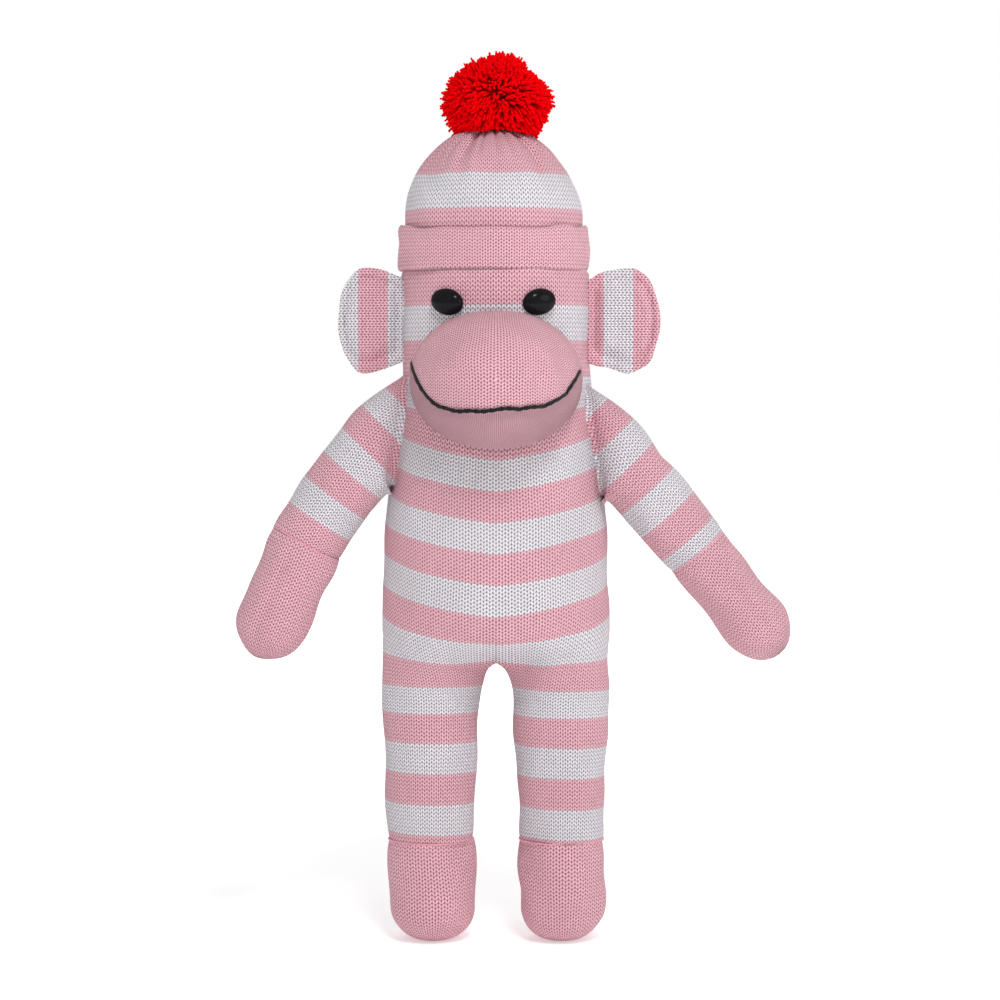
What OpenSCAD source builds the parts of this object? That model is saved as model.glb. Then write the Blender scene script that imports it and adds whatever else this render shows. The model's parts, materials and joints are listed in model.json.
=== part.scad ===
// Striped knitted toy monkey with a pompom hat: sewn knit tubes, loose stuffing, safety eyes.
// Millimetres. +Z is up, the face looks towards -Y, and the monkey's own left is towards +X.
// The origin is on the ground, under the middle of the whole toy's outline.

/* [Trunk] */
// Height of the hip hinges above the soles
hip_z = 118; // [108:1:130]
// Height of the bend between chest and head
neck_z = 262; // [250:1:280]
// Width across the hips
hip_w = 104.6; // [96:0.2:126]
// Width at the waist
waist_w = 101; // [84:0.5:122]
// Height of the waist
waist_z = 185; // [170:1:200]
// Depth of the trunk from front to back
trunk_d = 79; // [74:1:96]
// Corner radius round the bottom of the trunk
seat_r = 10; // [4:1:14]

/* [Head] */
// Width of the head
head_w = 85.2; // [80:0.2:102]
// Depth of the head from front to back
head_d = 76; // [70:1:92]
// Height of the head from the neck bend to the hat's cuff
head_h = 44; // [38:1:54]

/* [Hat] */
// Height of the folded cuff
cuff_h = 20; // [12:1:26]
// Thickness of the folded cuff
cuff_t = 2.4; // [1.6:0.1:4]
// How far the cuff stands out past the head
cuff_out = 1; // [0.4:0.1:3]
// Height of the crown above the cuff
crown_h = 45; // [36:1:54]
// How much narrower than the head the crown is at the cuff
crown_in = 4.6; // [4:0.2:16]

/* [Pompom] */
// Width of the pompom
pompom_w = 51; // [42:1:62]
// Height of the pompom
pompom_h = 43.8; // [38:0.2:54]
// Height of the pompom's middle above the top of the crown
pompom_up = 12.5; // [9:0.5:17]

/* [Muzzle] */
// Width of the muzzle
muzzle_w = 77.6; // [62:0.2:79]
// Height of the muzzle
muzzle_h = 61; // [52:0.2:70]
// How far the muzzle stands out from the face
muzzle_out = 36; // [28:1:44]
// How far the muzzle's middle is below the neck bend
muzzle_drop = 6.1; // [2:0.1:9]
// Height of the mouth's ends above its middle
smile_rise = 20; // [12:1:24]
// How far the middle of the mouth is below the middle of the muzzle
mouth_drop = 13; // [8:0.5:18]
// Thickness of the mouth yarn
yarn_d = 1.2; // [0.8:0.1:2]

/* [Eyes] */
// Long size of an eye
eye_w = 15.8; // [12:0.1:19]
// Short size of an eye
eye_h = 11.8; // [9:0.1:14]
// How far an eye stands out
eye_out = 5; // [3:0.5:7]
// Distance between the eyes' middles
eye_span = 39.8; // [36:0.2:46]
// Gap between the muzzle and the eye that is nearer to it
eye_gap = 0.4; // [0.3:0.1:4]
// How far the eyes sit to the toy's left of the middle
eye_mid = -1.2; // [-2:0.2:2]
// Tilt of each eye, outer end up
eye_tilt = 12; // [0:1:20]
// Diameter of the eye's stem
stem_d = 4; // [3:0.1:5]
// Length of the eye's stem
stem_l = 12; // [9:1:14]
// Diameter of the eye's washer
washer_d = 11; // [8:0.5:13]

/* [Ears] */
// Greatest height of an ear
ear_h = 47.6; // [38:0.2:50]
// Height of an ear where it is sewn on
ear_root_h = 36.4; // [28:0.2:38]
// How far the right and left ear reach out from their seams
ear_reach = [24.6, 27.6]; // [20:0.2:36]
// Thickness of an ear
ear_t = 7; // [5.4:0.2:9]
// Height of the ears' middle above the neck bend
ear_up = 20.6; // [20:0.2:24]
// How far the ears and arms are sewn in front of the side line
ear_fwd = 6; // [0:1:12]

/* [Arms] */
// Width of the right and left arm, seen from the front
arm_w = [33.6, 29.6]; // [26:0.2:35]
// Depth of the right and left arm
arm_d = [28, 33]; // [24:0.5:36]
// Height of the middle of the right and left arm's seam
shoulder_z = [233, 228.5]; // [226:0.5:236]
// Length of the seam that holds an arm
arm_seam_l = 50; // [40:1:52]
// Length of the right and left sleeve, from seam to wrist
sleeve_l = [65.3, 67.6]; // [58:0.1:84]
// Length of the right and left hand
hand_l = [57, 60]; // [48:1:75]
// Angle of the right and left arm from hanging straight down, at the seam
arm_root_a = [48, 44.5]; // [42:0.5:56]
// Angle of the right and left arm at the wrist
arm_wrist_a = [29.5, 40.5]; // [26:0.5:50]
// Angle of the right and left hand
hand_a = [25.2, 38.3]; // [20:0.1:50]
// Distance from the seam to the round top of the arm
shoulder_gap = 12; // [11.5:0.5:16]
// How far the arms are sewn in front of the side line
arm_fwd = 13; // [8:1:16]

/* [Legs] */
// Distance of each leg's middle from the centre line
leg_x = 29.9; // [25:0.1:36]
// Width of a leg at the hip
leg_w = 44.8; // [38:0.2:50]
// Depth of a leg at the hip
leg_d = 41; // [34:1:42]
// Height of the ankle seam above the soles
ankle_z = 46; // [38:1:56]
// Width of a leg at the ankle
ankle_w = 39; // [32:1:44]
// Depth of a leg at the ankle
ankle_d = 39; // [32:1:46]
// Width of a foot
foot_w = 39.6; // [34:0.2:48]
// Depth of a foot
foot_d = 44; // [36:1:54]
// Corner radius round the sole
sole_r = 13; // [6:1:15]

/* [Fabric] */
// Thickness of the knitted fabric
knit_t = 1.4; // [1:0.1:2]
// Gap between the fabric and the stuffing inside it
slack = 0.3; // [0.2:0.05:0.6]
// Gap between pieces that turn past each other
joint_gap = 0.8; // [0.5:0.1:1.2]
// Thickness of the sewing thread
thread_d = 0.9; // [0.6:0.1:1.2]

/* [Motion] */
// How far the head nods back
nod_back = 15; // [8:1:18]
// How far the head nods forward
nod_fwd = 5; // [0:1:6]
// How far an arm lifts
arm_lift = 60; // [40:1:65]
// How far the pompom leans to a side
pompom_lean = 12; // [5:1:14]

/* [Smoothness] */
// Sides of the trunk and head
trunk_sides = 32; // [24:4:40]
// Sides of the arms, legs and ears
limb_sides = 24; // [16:4:32]

/* [Hidden] */

RIGHT = -1;
LEFT = 1;
X = [1, 0, 0];
Y = [0, 1, 0];
Z = [0, 0, 1];

pink = [0.85, 0.62, 0.67];
white = [0.93, 0.91, 0.93];
red = [0.75, 0.02, 0.02];
black = [0.03, 0.03, 0.03];
fill_white = [0.96, 0.96, 0.94];

// Heights that follow from the driving sizes
brim_z = neck_z + head_h;
cuff_top = brim_z + cuff_h;
crown_top = cuff_top + crown_h;
crown_w = head_w - crown_in;
crown_d = crown_w * head_d / head_w;
trunk_bottom = hip_z + leg_d / 2 + 1.2 * joint_gap;
muzzle_z = neck_z - muzzle_drop;
ear_z = neck_z + ear_up;

// The chest ends in a cup, and the head's round bottom turns in it. The rim is low enough
// for the head to nod back without touching it.
cup_drop = head_d / 2 * sin(nod_back) + 4;
cup_rim = neck_z - cup_drop;
under_cuff = cuff_t - cuff_out + 0.4;
fit_z = 2;

// ---- small functions ----

// The item for a side, from a list that gives the right one first
function pick(list, side) = list[side == RIGHT ? 0 : 1];

// A power that keeps the sign of its base
function signed_pow(b, e) = sign(b) * pow(abs(b), e);

// A smooth change from a to b as t goes from 0 to 1
function ease(a, b, t) = a + (b - a) * (1 - cos(180 * max(0, min(1, t)))) / 2;

function unit(v) = v / norm(v);
function last(list) = list[len(list) - 1];
function middle(ring) = [for (p = ring) 1] * ring / len(ring);
function reversed(list) = [for (i = [len(list) - 1:-1:0]) list[i]];

// A closed oval of n points about c. Its half sizes w and d lie along u and v, and it runs
// anticlockwise seen from the end of u x v. Power 2 is an ellipse, and more is squarer.
function oval(c, u, v, w, d, n, power = 2) = [
    for (i = [0:n - 1])
        let (a = 360 * i / n)
        c + u * w * signed_pow(cos(a), 2 / power) + v * d * signed_pow(sin(a), 2 / power)
];

// Heights and insets of a quarter round at the bottom of a form, from the flat to the side
function quarter(z, r, steps = 4) = [
    for (i = [0:steps]) let (a = 90 * i / steps) [z + r * (1 - cos(a)), r * (1 - sin(a))]
];

// ---- solids from rings ----

function side_faces(a, b, n) = [
    for (i = [0:n - 1])
        let (j = (i + 1) % n)
        each [[a + i, b + i, b + j], [a + i, b + j, a + j]]
];

// A solid whose surface runs through the rings in turn, closed at both ends. Rings that turn
// back inside the first ones make a bag with a wall.
module loft(rings) {
    n = len(rings[0]);
    m = len(rings);
    tip = 1 + m * n;
    polyhedron(
        points = concat([middle(rings[0])], [for (r = rings) each r], [middle(last(rings))]),
        faces = concat(
            [for (i = [0:n - 1]) [0, 1 + i, 1 + (i + 1) % n]],
            [for (k = [0:m - 2]) each side_faces(1 + k * n, 1 + (k + 1) * n, n)],
            [for (i = [0:n - 1]) [tip, tip - n + (i + 1) % n, tip - n + i]]
        ),
        convexity = 6
    );
}

// A solid ring: the last ring joins the first again
module band(rings) {
    n = len(rings[0]);
    m = len(rings);
    polyhedron(
        points = [for (r = rings) each r],
        faces = [for (k = [0:m - 1]) each side_faces(k * n, (k + 1) % m * n, n)],
        convexity = 6
    );
}

// A thread or yarn of diameter d along a path, square to the path and to the away vectors
module strand(path, away, d, n = 8) {
    m = len(path);
    loft([
        for (i = [0:m - 1])
            let (
                t = unit(path[min(i + 1, m - 1)] - path[max(i - 1, 0)]),
                u = unit(cross(t, away[i]))
            )
            oval(path[i], u, cross(t, u), d / 2, d / 2, n)
    ]);
}

// ---- where the trunk is ----

function trunk_half_w(z) = z < waist_z
    ? ease(hip_w, waist_w, (z - trunk_bottom) / (waist_z - trunk_bottom)) / 2
    : ease(waist_w, head_w, (z - waist_z) / (neck_z - waist_z)) / 2;
function trunk_half_d(z) = ease(trunk_d, head_d, (z - waist_z) / (neck_z - waist_z)) / 2;
function trunk_ring(z, inset) = oval([0, 0, z], X, Y,
    trunk_half_w(z) - inset, trunk_half_d(z) - inset, trunk_sides);

// Half width of the trunk at height z, at y behind its middle
function side_x(z, y) = trunk_half_w(z) * sqrt(1 - pow(y / trunk_half_d(z), 2));

// ---- torso ----

// The inside or the outside of the torso, from the flat of its bottom to a height
function torso_rings(top, inset) = concat(
    [for (q = quarter(trunk_bottom + inset, seat_r)) trunk_ring(q[0], q[1] + inset)],
    [for (i = [1:6])
        let (z0 = trunk_bottom + seat_r + inset)
        trunk_ring(z0 + (top - z0) * i / 6, inset)]
);

module torso_skin() {
    color(pink)
        on_ground()
            loft(concat(torso_rings(cup_rim, 0), reversed(torso_rings(cup_rim, knit_t))));
}

// The neck's ellipsoid grown by e, cut at h below the neck bend. Turning it about the
// sideways axis through the neck bend leaves it as it is.
function neck_ring(h, e) =
    let (k = sqrt(max(0.0004, 1 - pow(h / (head_d / 2 + e), 2))))
    oval([0, 0, neck_z - h], X, Y, (head_w / 2 + e) * k, (head_d / 2 + e) * k, trunk_sides);

module torso_stuffing() {
    lip = cup_drop + fit_z;
    deep = head_d / 2 + joint_gap;
    color(fill_white)
        on_ground()
            loft(concat(
                torso_rings(neck_z - lip, knit_t + slack),
                [for (i = [0:5])
                    let (a = asin(lip / deep))
                    neck_ring(deep * sin(a + (84 - a) * i / 5), joint_gap)]
            ));
}

// ---- head ----

// The head from its round bottom up to the cuff
function head_rings(e) = concat(
    [for (a = [84, 66, 48, 32, 16]) neck_ring((head_d / 2 + e) * sin(a), e)],
    [for (z = [neck_z, neck_z + head_h / 2, brim_z - fit_z])
        oval([0, 0, z], X, Y, head_w / 2 + e, head_d / 2 + e, trunk_sides)]
);

// The head goes on a little narrower inside the cuff
tube_top = cuff_top - 4 * fit_z;
function tube_rings(e) = [
    for (z = [brim_z, tube_top])
        oval([0, 0, z], X, Y, head_w / 2 - under_cuff + e, head_d / 2 - under_cuff + e, trunk_sides)
];

module head_skin() {
    color(pink)
        on_ground()
            difference() {
                loft(concat(
                    head_rings(0), tube_rings(0),
                    reversed(tube_rings(-knit_t)), reversed(head_rings(-knit_t))
                ));
                for (side = [RIGHT, LEFT])
                    at_eye(side)
                        translate([0, 0, -3 * knit_t])
                            cylinder(d = stem_d + 0.1, h = 6 * knit_t, $fn = 32);
            }
}

// The crown is half an ellipsoid on the cuff. It starts down inside the cuff.
function crown_ring(t, e) =
    let (k = sqrt(1 - t * t))
    oval([0, 0, cuff_top + (crown_h + e) * t], X, Y,
         (crown_w / 2 + e) * k, (crown_d / 2 + e) * k, trunk_sides);
function crown_foot(z, e) = oval([0, 0, z], X, Y, crown_w / 2 + e, crown_d / 2 + e, trunk_sides);
crown_steps = [0, 0.28, 0.5, 0.68, 0.82, 0.92, 0.985];

module hat_crown() {
    foot = cuff_top - 3 * fit_z;
    color(pink)
        on_ground()
            loft(concat(
                [for (t = reversed(crown_steps)) crown_ring(t, -knit_t)],
                [crown_foot(foot, -knit_t), crown_foot(foot, 0)],
                [for (t = crown_steps) crown_ring(t, 0)]
            ));
}

module head_stuffing() {
    e = -knit_t - slack;
    color(fill_white)
        on_ground()
            difference() {
                loft(concat(
                    head_rings(e),
                    [for (z = [brim_z, tube_top]) crown_foot(z, e)],
                    [for (t = crown_steps) crown_ring(t, e)]
                ));
                for (side = [RIGHT, LEFT])
                    at_eye(side)
                        translate([0, 0, -stem_l - 2])
                            cylinder(d = washer_d + 1, h = stem_l + 4, $fn = 32);
            }
}

// The folded cuff: a band with round edges, a little fuller halfway up
module hat_cuff() {
    steps = [[0, 0.5], [0.03, 0.1], [0.5, -0.2], [0.92, 0], [0.98, 0.5], [1, 0.5 * cuff_t],
             [0.97, 0.9 * cuff_t], [0.9, cuff_t], [0.03, cuff_t]];
    color(pink)
        on_ground()
            band([for (s = steps)
                oval([0, 0, brim_z + cuff_h * s[0]], X, Y,
                     head_w / 2 + cuff_out - s[1], head_d / 2 + cuff_out - s[1], trunk_sides)]);
}

gather_r = 5;

module crown_gather_thread() {
    color(pink)
        on_ground()
            translate([0, 0, crown_top + thread_d / 2])
                rotate_extrude($fn = 48)
                    translate([gather_r, 0])
                        circle(d = thread_d, $fn = 16);
}

// ---- pompom ----

tie_r = 2.6;
tie_h = 5;
tie_z = crown_top + 1.5 * thread_d;
pompom_z = crown_top + pompom_up;

// The pompom's underside is a dish that clears the crown when the pompom leans
function dish_z(r) = cuff_top + crown_h * sqrt(max(0, 1 - pow(r / (crown_w / 2), 2)))
    + 2 * joint_gap + r * tan(pompom_lean + 1);
function ball_point(a) = [pompom_w / 2 * cos(a), pompom_z + pompom_h / 2 * sin(a)];
function ball_under(r) = pompom_z - pompom_h / 2 * sqrt(max(0, 1 - pow(r / (pompom_w / 2), 2)));

module pompom() {
    recess = [tie_r + 1, tie_z + tie_h + 1];
    color(red)
        on_ground()
            rotate_extrude($fn = 64)
                polygon(concat(
                    [[0, recess[1]], recess],
                    [for (r = [recess[0]:2:pompom_w / 2]) if (dish_z(r) > ball_under(r)) [r, dish_z(r)]],
                    [for (a = [-70:7:84]) let (p = ball_point(a)) if (p[1] > dish_z(p[0]) + 0.2) p],
                    [ball_point(90)]
                ));
}

module pompom_tie() {
    color(red)
        on_ground()
            translate([0, 0, tie_z])
                cylinder(r = tie_r, h = tie_h, $fn = 32);
}

// ---- muzzle ----

muzzle_power = 2.1;
dome_power = 2.4;
face_gap = 0.4;

// The face behind the muzzle. Below the neck bend it leaves room to nod forward.
function face_y(x, z) =
    let (w = z < neck_z ? trunk_half_w(z) : head_w / 2, d = z < neck_z ? trunk_half_d(z) : head_d / 2)
    -d * sqrt(1 - pow(min(abs(x), 0.98 * w) / w, 2)) - face_gap
        - max(0, neck_z - z) * tan(nod_fwd + 1);

// A point of the muzzle grown by e: k is 0 at its middle and 1 at the face, a goes round it
function muzzle_point(k, a, e) =
    let (
        x = (muzzle_w / 2 + e) * k * signed_pow(cos(a), 2 / muzzle_power),
        z = muzzle_z + (muzzle_h / 2 + e) * k * signed_pow(sin(a), 2 / muzzle_power)
    )
    [x, face_y(x, z) - (muzzle_out + e) * sqrt(1 - pow(k, dome_power)), z];
function muzzle_ring(k, e) = [
    for (i = [0:trunk_sides - 1]) muzzle_point(k, 360 * i / trunk_sides, e)
];
function muzzle_back(k, e) = [
    for (i = [0:trunk_sides - 1])
        let (p = muzzle_point(k, 360 * i / trunk_sides, e))
        [p[0], face_y(p[0], p[2]) - slack, p[2]]
];
muzzle_steps = [0.15, 0.38, 0.58, 0.75, 0.88, 0.96, 1];

module muzzle_skin() {
    color(pink)
        on_ground()
            loft(concat(
                [for (k = muzzle_steps) muzzle_ring(k, -knit_t)],
                [for (k = reversed(muzzle_steps)) muzzle_ring(k, 0)]
            ));
}

module muzzle_stuffing() {
    e = -knit_t - slack;
    color(fill_white)
        on_ground()
            loft(concat(
                [for (k = [0.25, 0.45, 0.62, 0.78, 0.9, 0.97]) muzzle_back(k, e)],
                [for (k = reversed([0.15, 0.38, 0.58, 0.75, 0.88, 0.95])) muzzle_ring(k, e)]
            ));
}

// The mouth is a flat smile that turns up at its ends, laid on the muzzle
function mouth_point(t) =
    let (
        e = yarn_d / 2 + 0.3,
        x = t * muzzle_w / 2 * 0.985,
        z = muzzle_z - mouth_drop + smile_rise * pow(abs(t), 5),
        u = x / (muzzle_w / 2),
        v = (z - muzzle_z) / (muzzle_h / 2),
        k = min(0.995, pow(pow(abs(u), muzzle_power) + pow(abs(v), muzzle_power), 1 / muzzle_power))
    )
    [x * (1 + e / (muzzle_w / 2)), face_y(x, z) - (muzzle_out + e) * sqrt(1 - pow(k, dome_power)), z];

module mouth_yarn() {
    path = [for (i = [-10:10]) mouth_point(0.96 * sin(9 * i))];
    centre = [0, -head_d / 2, muzzle_z];
    color(black)
        on_ground()
            strand(path, [for (p = path) p - centre], yarn_d);
}

// ---- eyes ----

function eye_x(side) = side * eye_span / 2 + eye_mid;

// Turn of the face about Z, and its place, at an eye
function eye_y(side) = -head_d / 2 * sqrt(1 - pow(2 * eye_x(side) / head_w, 2));
function eye_lean(side) = atan2(eye_x(side) / pow(head_w, 2), -eye_y(side) / pow(head_d, 2));

// Height of the muzzle's outline over a place x across the face
function muzzle_top(x) =
    muzzle_z + muzzle_h / 2
        * pow(1 - pow(min(1, abs(x) / (muzzle_w / 2)), muzzle_power), 1 / muzzle_power);

// Both eyes stand at the height that keeps the tilted rim of each one clear of the muzzle
eye_z = eye_gap + max([
    for (side = [RIGHT, LEFT], a = [0:15:345])
        let (
            along = eye_w / 2 * cos(a),
            up = eye_h / 2 * sin(a),
            across = along * cos(eye_tilt) - side * up * sin(eye_tilt),
            x = eye_x(side) + across * cos(eye_lean(side)),
            z = side * along * sin(eye_tilt) + up * cos(eye_tilt)
        )
        muzzle_top(x) - z
]);

// Stands its children on the face with +Z outwards, at one eye
module at_eye(side) {
    translate([eye_x(side), eye_y(side), eye_z])
        rotate([0, 0, eye_lean(side)])
            rotate([90, 0, 0])
                rotate([0, 0, side * eye_tilt])
                    children();
}

// A domed oval eye on a stem that goes through the fabric
module eye(side) {
    rim = 0.9;
    color(black)
        on_ground()
            at_eye(side) {
                translate([0, 0, 0.2])
                    loft(concat(
                        [oval([0, 0, 0], X, Y, eye_w / 2 - 0.4, eye_h / 2 - 0.4, limb_sides),
                         oval([0, 0, rim / 2], X, Y, eye_w / 2, eye_h / 2, limb_sides)],
                        [for (a = [12, 32, 52, 72])
                            oval([0, 0, rim + (eye_out - rim) * sin(a)], X, Y,
                                 (eye_w / 2 - 0.2) * cos(a), (eye_h / 2 - 0.2) * cos(a), limb_sides)]
                    ));
                translate([0, 0, -stem_l])
                    cylinder(d = stem_d, h = stem_l + 0.7, $fn = 32);
            }
}

module eye_washer(side) {
    thick = 1.2;
    color(fill_white)
        on_ground()
            at_eye(side)
                translate([0, 0, -knit_t - thick - 0.9])
                    difference() {
                        cylinder(d = washer_d, h = thick, $fn = 48);
                        translate([0, 0, -1])
                            cylinder(d = stem_d + 0.1, h = thick + 2, $fn = 32);
                    }
}

// ---- ears ----

ear_y = -ear_fwd;
ear_axis_x = head_w / 2 * sqrt(1 - pow(ear_y / (head_d / 2), 2)) + joint_gap + ear_t / 2;

// Half height of an ear's outline from its root, at 0, to its rim, at 1
function ear_half_h(t) =
    let (full = 0.45)
    t < full
        ? ear_root_h / 2 + (ear_h - ear_root_h) / 2 * sin(90 * t / full)
        : ear_h / 2 * sqrt(1 - pow((t - full) / (1 - full), 2));

// A ring of the ear, inset from its surface
function ear_ring(side, t, inset) =
    let (
        thick = ear_t / 2 * (1 - 0.25 * pow(1 - t, 2)) * sqrt(1 - pow(t, 6)),
        reach = pick(ear_reach, side) - inset
    )
    oval([side * (ear_axis_x + reach * t), ear_y, ear_z], [0, 1, 0], [0, 0, side],
         max(0.25, thick - inset), max(0.6, ear_half_h(t) - inset), limb_sides);
ear_steps = [0, 0.2, 0.45, 0.65, 0.8, 0.92, 0.98];

module ear(side) {
    color(pink)
        on_ground()
            loft(concat(
                [for (t = reversed(ear_steps)) ear_ring(side, t, knit_t)],
                [for (t = ear_steps) ear_ring(side, t, 0)]
            ));
}

module ear_batting(side) {
    inset = knit_t + slack;
    color(fill_white)
        on_ground()
            loft([for (t = [0.02, 0.2, 0.45, 0.65, 0.8, 0.9]) ear_ring(side, t, inset)]);
}

// ---- arms ----

arm_y = -arm_fwd;
hug = joint_gap + thread_d;

// The seam lies along the slope of the trunk's side
function seam_point(side, v) =
    let (z = pick(shoulder_z, side) + v * arm_seam_l / 2)
    [side * (side_x(z, arm_y) + hug), arm_y, z];
function seam_line(side, v) =
    let (low = seam_point(side, -1), high = seam_point(side, 1))
    (low + high) / 2 + v * (high - low) / 2;

// Distance from the seam to the bend of the shoulder
function shoulder_l(side) = shoulder_gap + pick(arm_w, side) / 2;

// Place s along the arm's middle line, which bends evenly from the seam to the wrist
function arm_bend(side) =
    (pick(arm_wrist_a, side) - pick(arm_root_a, side)) / pick(sleeve_l, side);
function arm_angle(side, s) = s > pick(sleeve_l, side)
    ? pick(hand_a, side)
    : pick(arm_root_a, side) + arm_bend(side) * s;
function arm_dir(side, a) = [side * sin(a), 0, -cos(a)];
function arc_step(side, s) =
    let (half = arm_bend(side) * s / 2, chord = half == 0 ? s : s * sin(half) / (half * PI / 180))
    chord * arm_dir(side, pick(arm_root_a, side) + half);
function arm_point(side, s) =
    let (l = pick(sleeve_l, side), sleeve = min(s, l), along = max(0, s - l))
    seam_line(side, 0) + arc_step(side, sleeve) + along * arm_dir(side, pick(hand_a, side));

// A ring across the arm at s, with its half sizes scaled by k and grown by e
function arm_ring(side, s, k, e) =
    let (dir = arm_dir(side, arm_angle(side, s)))
    oval(arm_point(side, s), Y, cross(dir, Y),
         (pick(arm_d, side) / 2 + e) * k, (pick(arm_w, side) / 2 + e) * k, limb_sides);

// The arm's round top turns about the front-to-back axis through the shoulder bend
function arm_ball(side, e) =
    let (
        bend = arm_point(side, shoulder_l(side)),
        dir = arm_dir(side, arm_angle(side, shoulder_l(side))),
        r = pick(arm_w, side) / 2 + e
    )
    [for (a = [80, 58, 38, 19])
        oval(bend - dir * r * sin(a), Y, cross(dir, Y),
             (pick(arm_d, side) / 2 + e) * cos(a), r * cos(a), limb_sides)];

wrist_gap = 1.5 * thread_d;

function sleeve_rings(side, end, e) = concat(
    arm_ball(side, e),
    [for (i = [0:4]) let (from = shoulder_l(side)) arm_ring(side, from + (end - from) * i / 4, 1, e)]
);

module sleeve(side) {
    end = pick(sleeve_l, side) - wrist_gap;
    color(pink)
        on_ground()
            loft(concat(sleeve_rings(side, end, 0), reversed(sleeve_rings(side, end, -knit_t))));
}

// The hand is a rounded bag whose tip is half an ellipsoid, this share of the arm's width long
tip_share = 0.8;
function hand_rings(side, e) =
    let (
        l = pick(sleeve_l, side),
        h = pick(hand_l, side),
        tip = pick(arm_w, side) * tip_share,
        start = wrist_gap
    )
    concat(
        [for (i = [0:3]) arm_ring(side, l + start + (h - tip - start) * i / 3, 1, e)],
        [for (a = [22, 44, 64, 80]) arm_ring(side, l + h - tip + (tip + e) * sin(a), cos(a), e)]
    );

module hand(side) {
    color(pink)
        on_ground()
            loft(concat(reversed(hand_rings(side, -knit_t)), hand_rings(side, 0)));
}

// The thread's ring stands halfway between the sleeve's end and the hand's
module wrist_seam_thread(side) {
    half = thread_d / 2;
    wrist = arm_point(side, pick(sleeve_l, side));
    dir = arm_dir(side, (pick(arm_wrist_a, side) + pick(hand_a, side)) / 2);
    color(pink)
        on_ground()
            band([
                for (c = [[-half, 0], [half, 0], [half, -thread_d], [-half, -thread_d]])
                    oval(wrist + dir * c[0], Y, cross(dir, Y),
                         pick(arm_d, side) / 2 + c[1], pick(arm_w, side) / 2 + c[1], limb_sides)
            ]);
}

module arm_stuffing(side) {
    e = -knit_t - slack;
    end = pick(sleeve_l, side);
    neck = -thread_d - slack;
    color(fill_white)
        on_ground()
            loft(concat(
                sleeve_rings(side, end - wrist_gap, e),
                [arm_ring(side, end, 1, min(e, neck - 0.2))],
                hand_rings(side, e)
            ));
}

// The flat stretch of sleeve between the seam and the shoulder bend. Its outer end is
// hollowed round the arm's ball, as far up as the lifted arm leaves free.
function root_point(side, j, v, depth) =
    let (
        bend = arm_point(side, shoulder_l(side)),
        back = 90 - arm_angle(side, shoulder_l(side)),
        r = pick(arm_w, side) / 2 + joint_gap,
        up = max(4, 90 - arm_lift - 6),
        a = back + (v > 0 ? up * v : 42 * v),
        hollow = bend + r * [-side * cos(a), 0, sin(a)],
        start = seam_line(side, v) + [side * hug / 2, 0, 0],
        bulge = 1.2 + (pick(arm_d, side) / 2 - 5) * sin(90 * j)
    )
    start * (1 - j) + hollow * j + [0, side * depth * bulge, 0];
function root_ring(side, j, q) = [
    for (i = [0:limb_sides - 1])
        let (a = 360 * i / limb_sides)
        root_point(side, j, q * sin(a), q * cos(a))
];

module sleeve_root(side) {
    color(pink)
        on_ground()
            loft(concat(
                [for (q = [0.4, 0.8]) root_ring(side, 0, q)],
                [for (j = [0, 0.35, 0.7, 1]) root_ring(side, j, 1)],
                [for (q = [0.8, 0.6, 0.4, 0.2]) root_ring(side, 1, q)]
            ));
}

module shoulder_seam_thread(side) {
    low = seam_line(side, -1);
    high = seam_line(side, 1);
    color(pink)
        on_ground()
            translate(low)
                rotate([0, atan2(high[0] - low[0], high[2] - low[2]), 0])
                    cylinder(d = thread_d, h = norm(high - low), $fn = 24);
}

// ---- legs ----

hip_power = 3;

// The leg's top is a barrel about the hip's sideways axis: at h above it, the barrel's outline
function hip_ring(h, e) =
    let (w = leg_w / 2 + e, r = leg_d / 2 + e, k = pow(1 - pow(h / r, hip_power), 1 / hip_power))
    [for (i = [0:limb_sides - 1])
        let (
            a = 360 * i / limb_sides,
            x = k * signed_pow(cos(a), 2 / hip_power),
            y = sqrt(max(0, r * r * pow(1 - pow(abs(x), hip_power), 2 / hip_power) - h * h))
        )
        [w * x, sign(sin(a)) * y, hip_z + h]];

// Below the hip the leg turns from the barrel's outline into an oval at the ankle
function leg_ring(z, e) =
    let (t = (hip_z - z) / (hip_z - ankle_z))
    oval([0, 0, z], X, Y, ease(leg_w, ankle_w, t) / 2 + e, ease(leg_d, ankle_d, t) / 2 + e,
         limb_sides, ease(hip_power, 2, 2 * t));
ankle_gap = 1.5 * thread_d;
leg_heights = [0, 0.2, 0.4, 0.6, 0.8, 1];

function leg_rings(low, e) = concat(
    [for (t = reversed(leg_heights)) leg_ring(hip_z - (hip_z - low) * t, e)],
    [for (a = [25, 45, 62, 78]) hip_ring((leg_d / 2 + e) * sin(a), e)]
);

module leg_skin(side) {
    low = ankle_z + ankle_gap;
    color(pink)
        on_ground()
            translate([side * leg_x, 0, 0])
                loft(concat(reversed(leg_rings(low, -knit_t)), leg_rings(low, 0)));
}

function foot_ring(z, inset) =
    let (t = (z - sole_r) / (ankle_z - sole_r))
    oval([0, 0, z], X, Y, ease(foot_w, ankle_w, t) / 2 - inset, ease(foot_d, ankle_d, t) / 2 - inset,
         limb_sides);
function foot_rings(inset, wall) = concat(
    [for (q = quarter(wall, sole_r - wall)) foot_ring(q[0], q[1] + inset)],
    [for (i = [1:3]) foot_ring(sole_r + (ankle_z - ankle_gap - sole_r) * i / 3, inset)]
);

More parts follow.
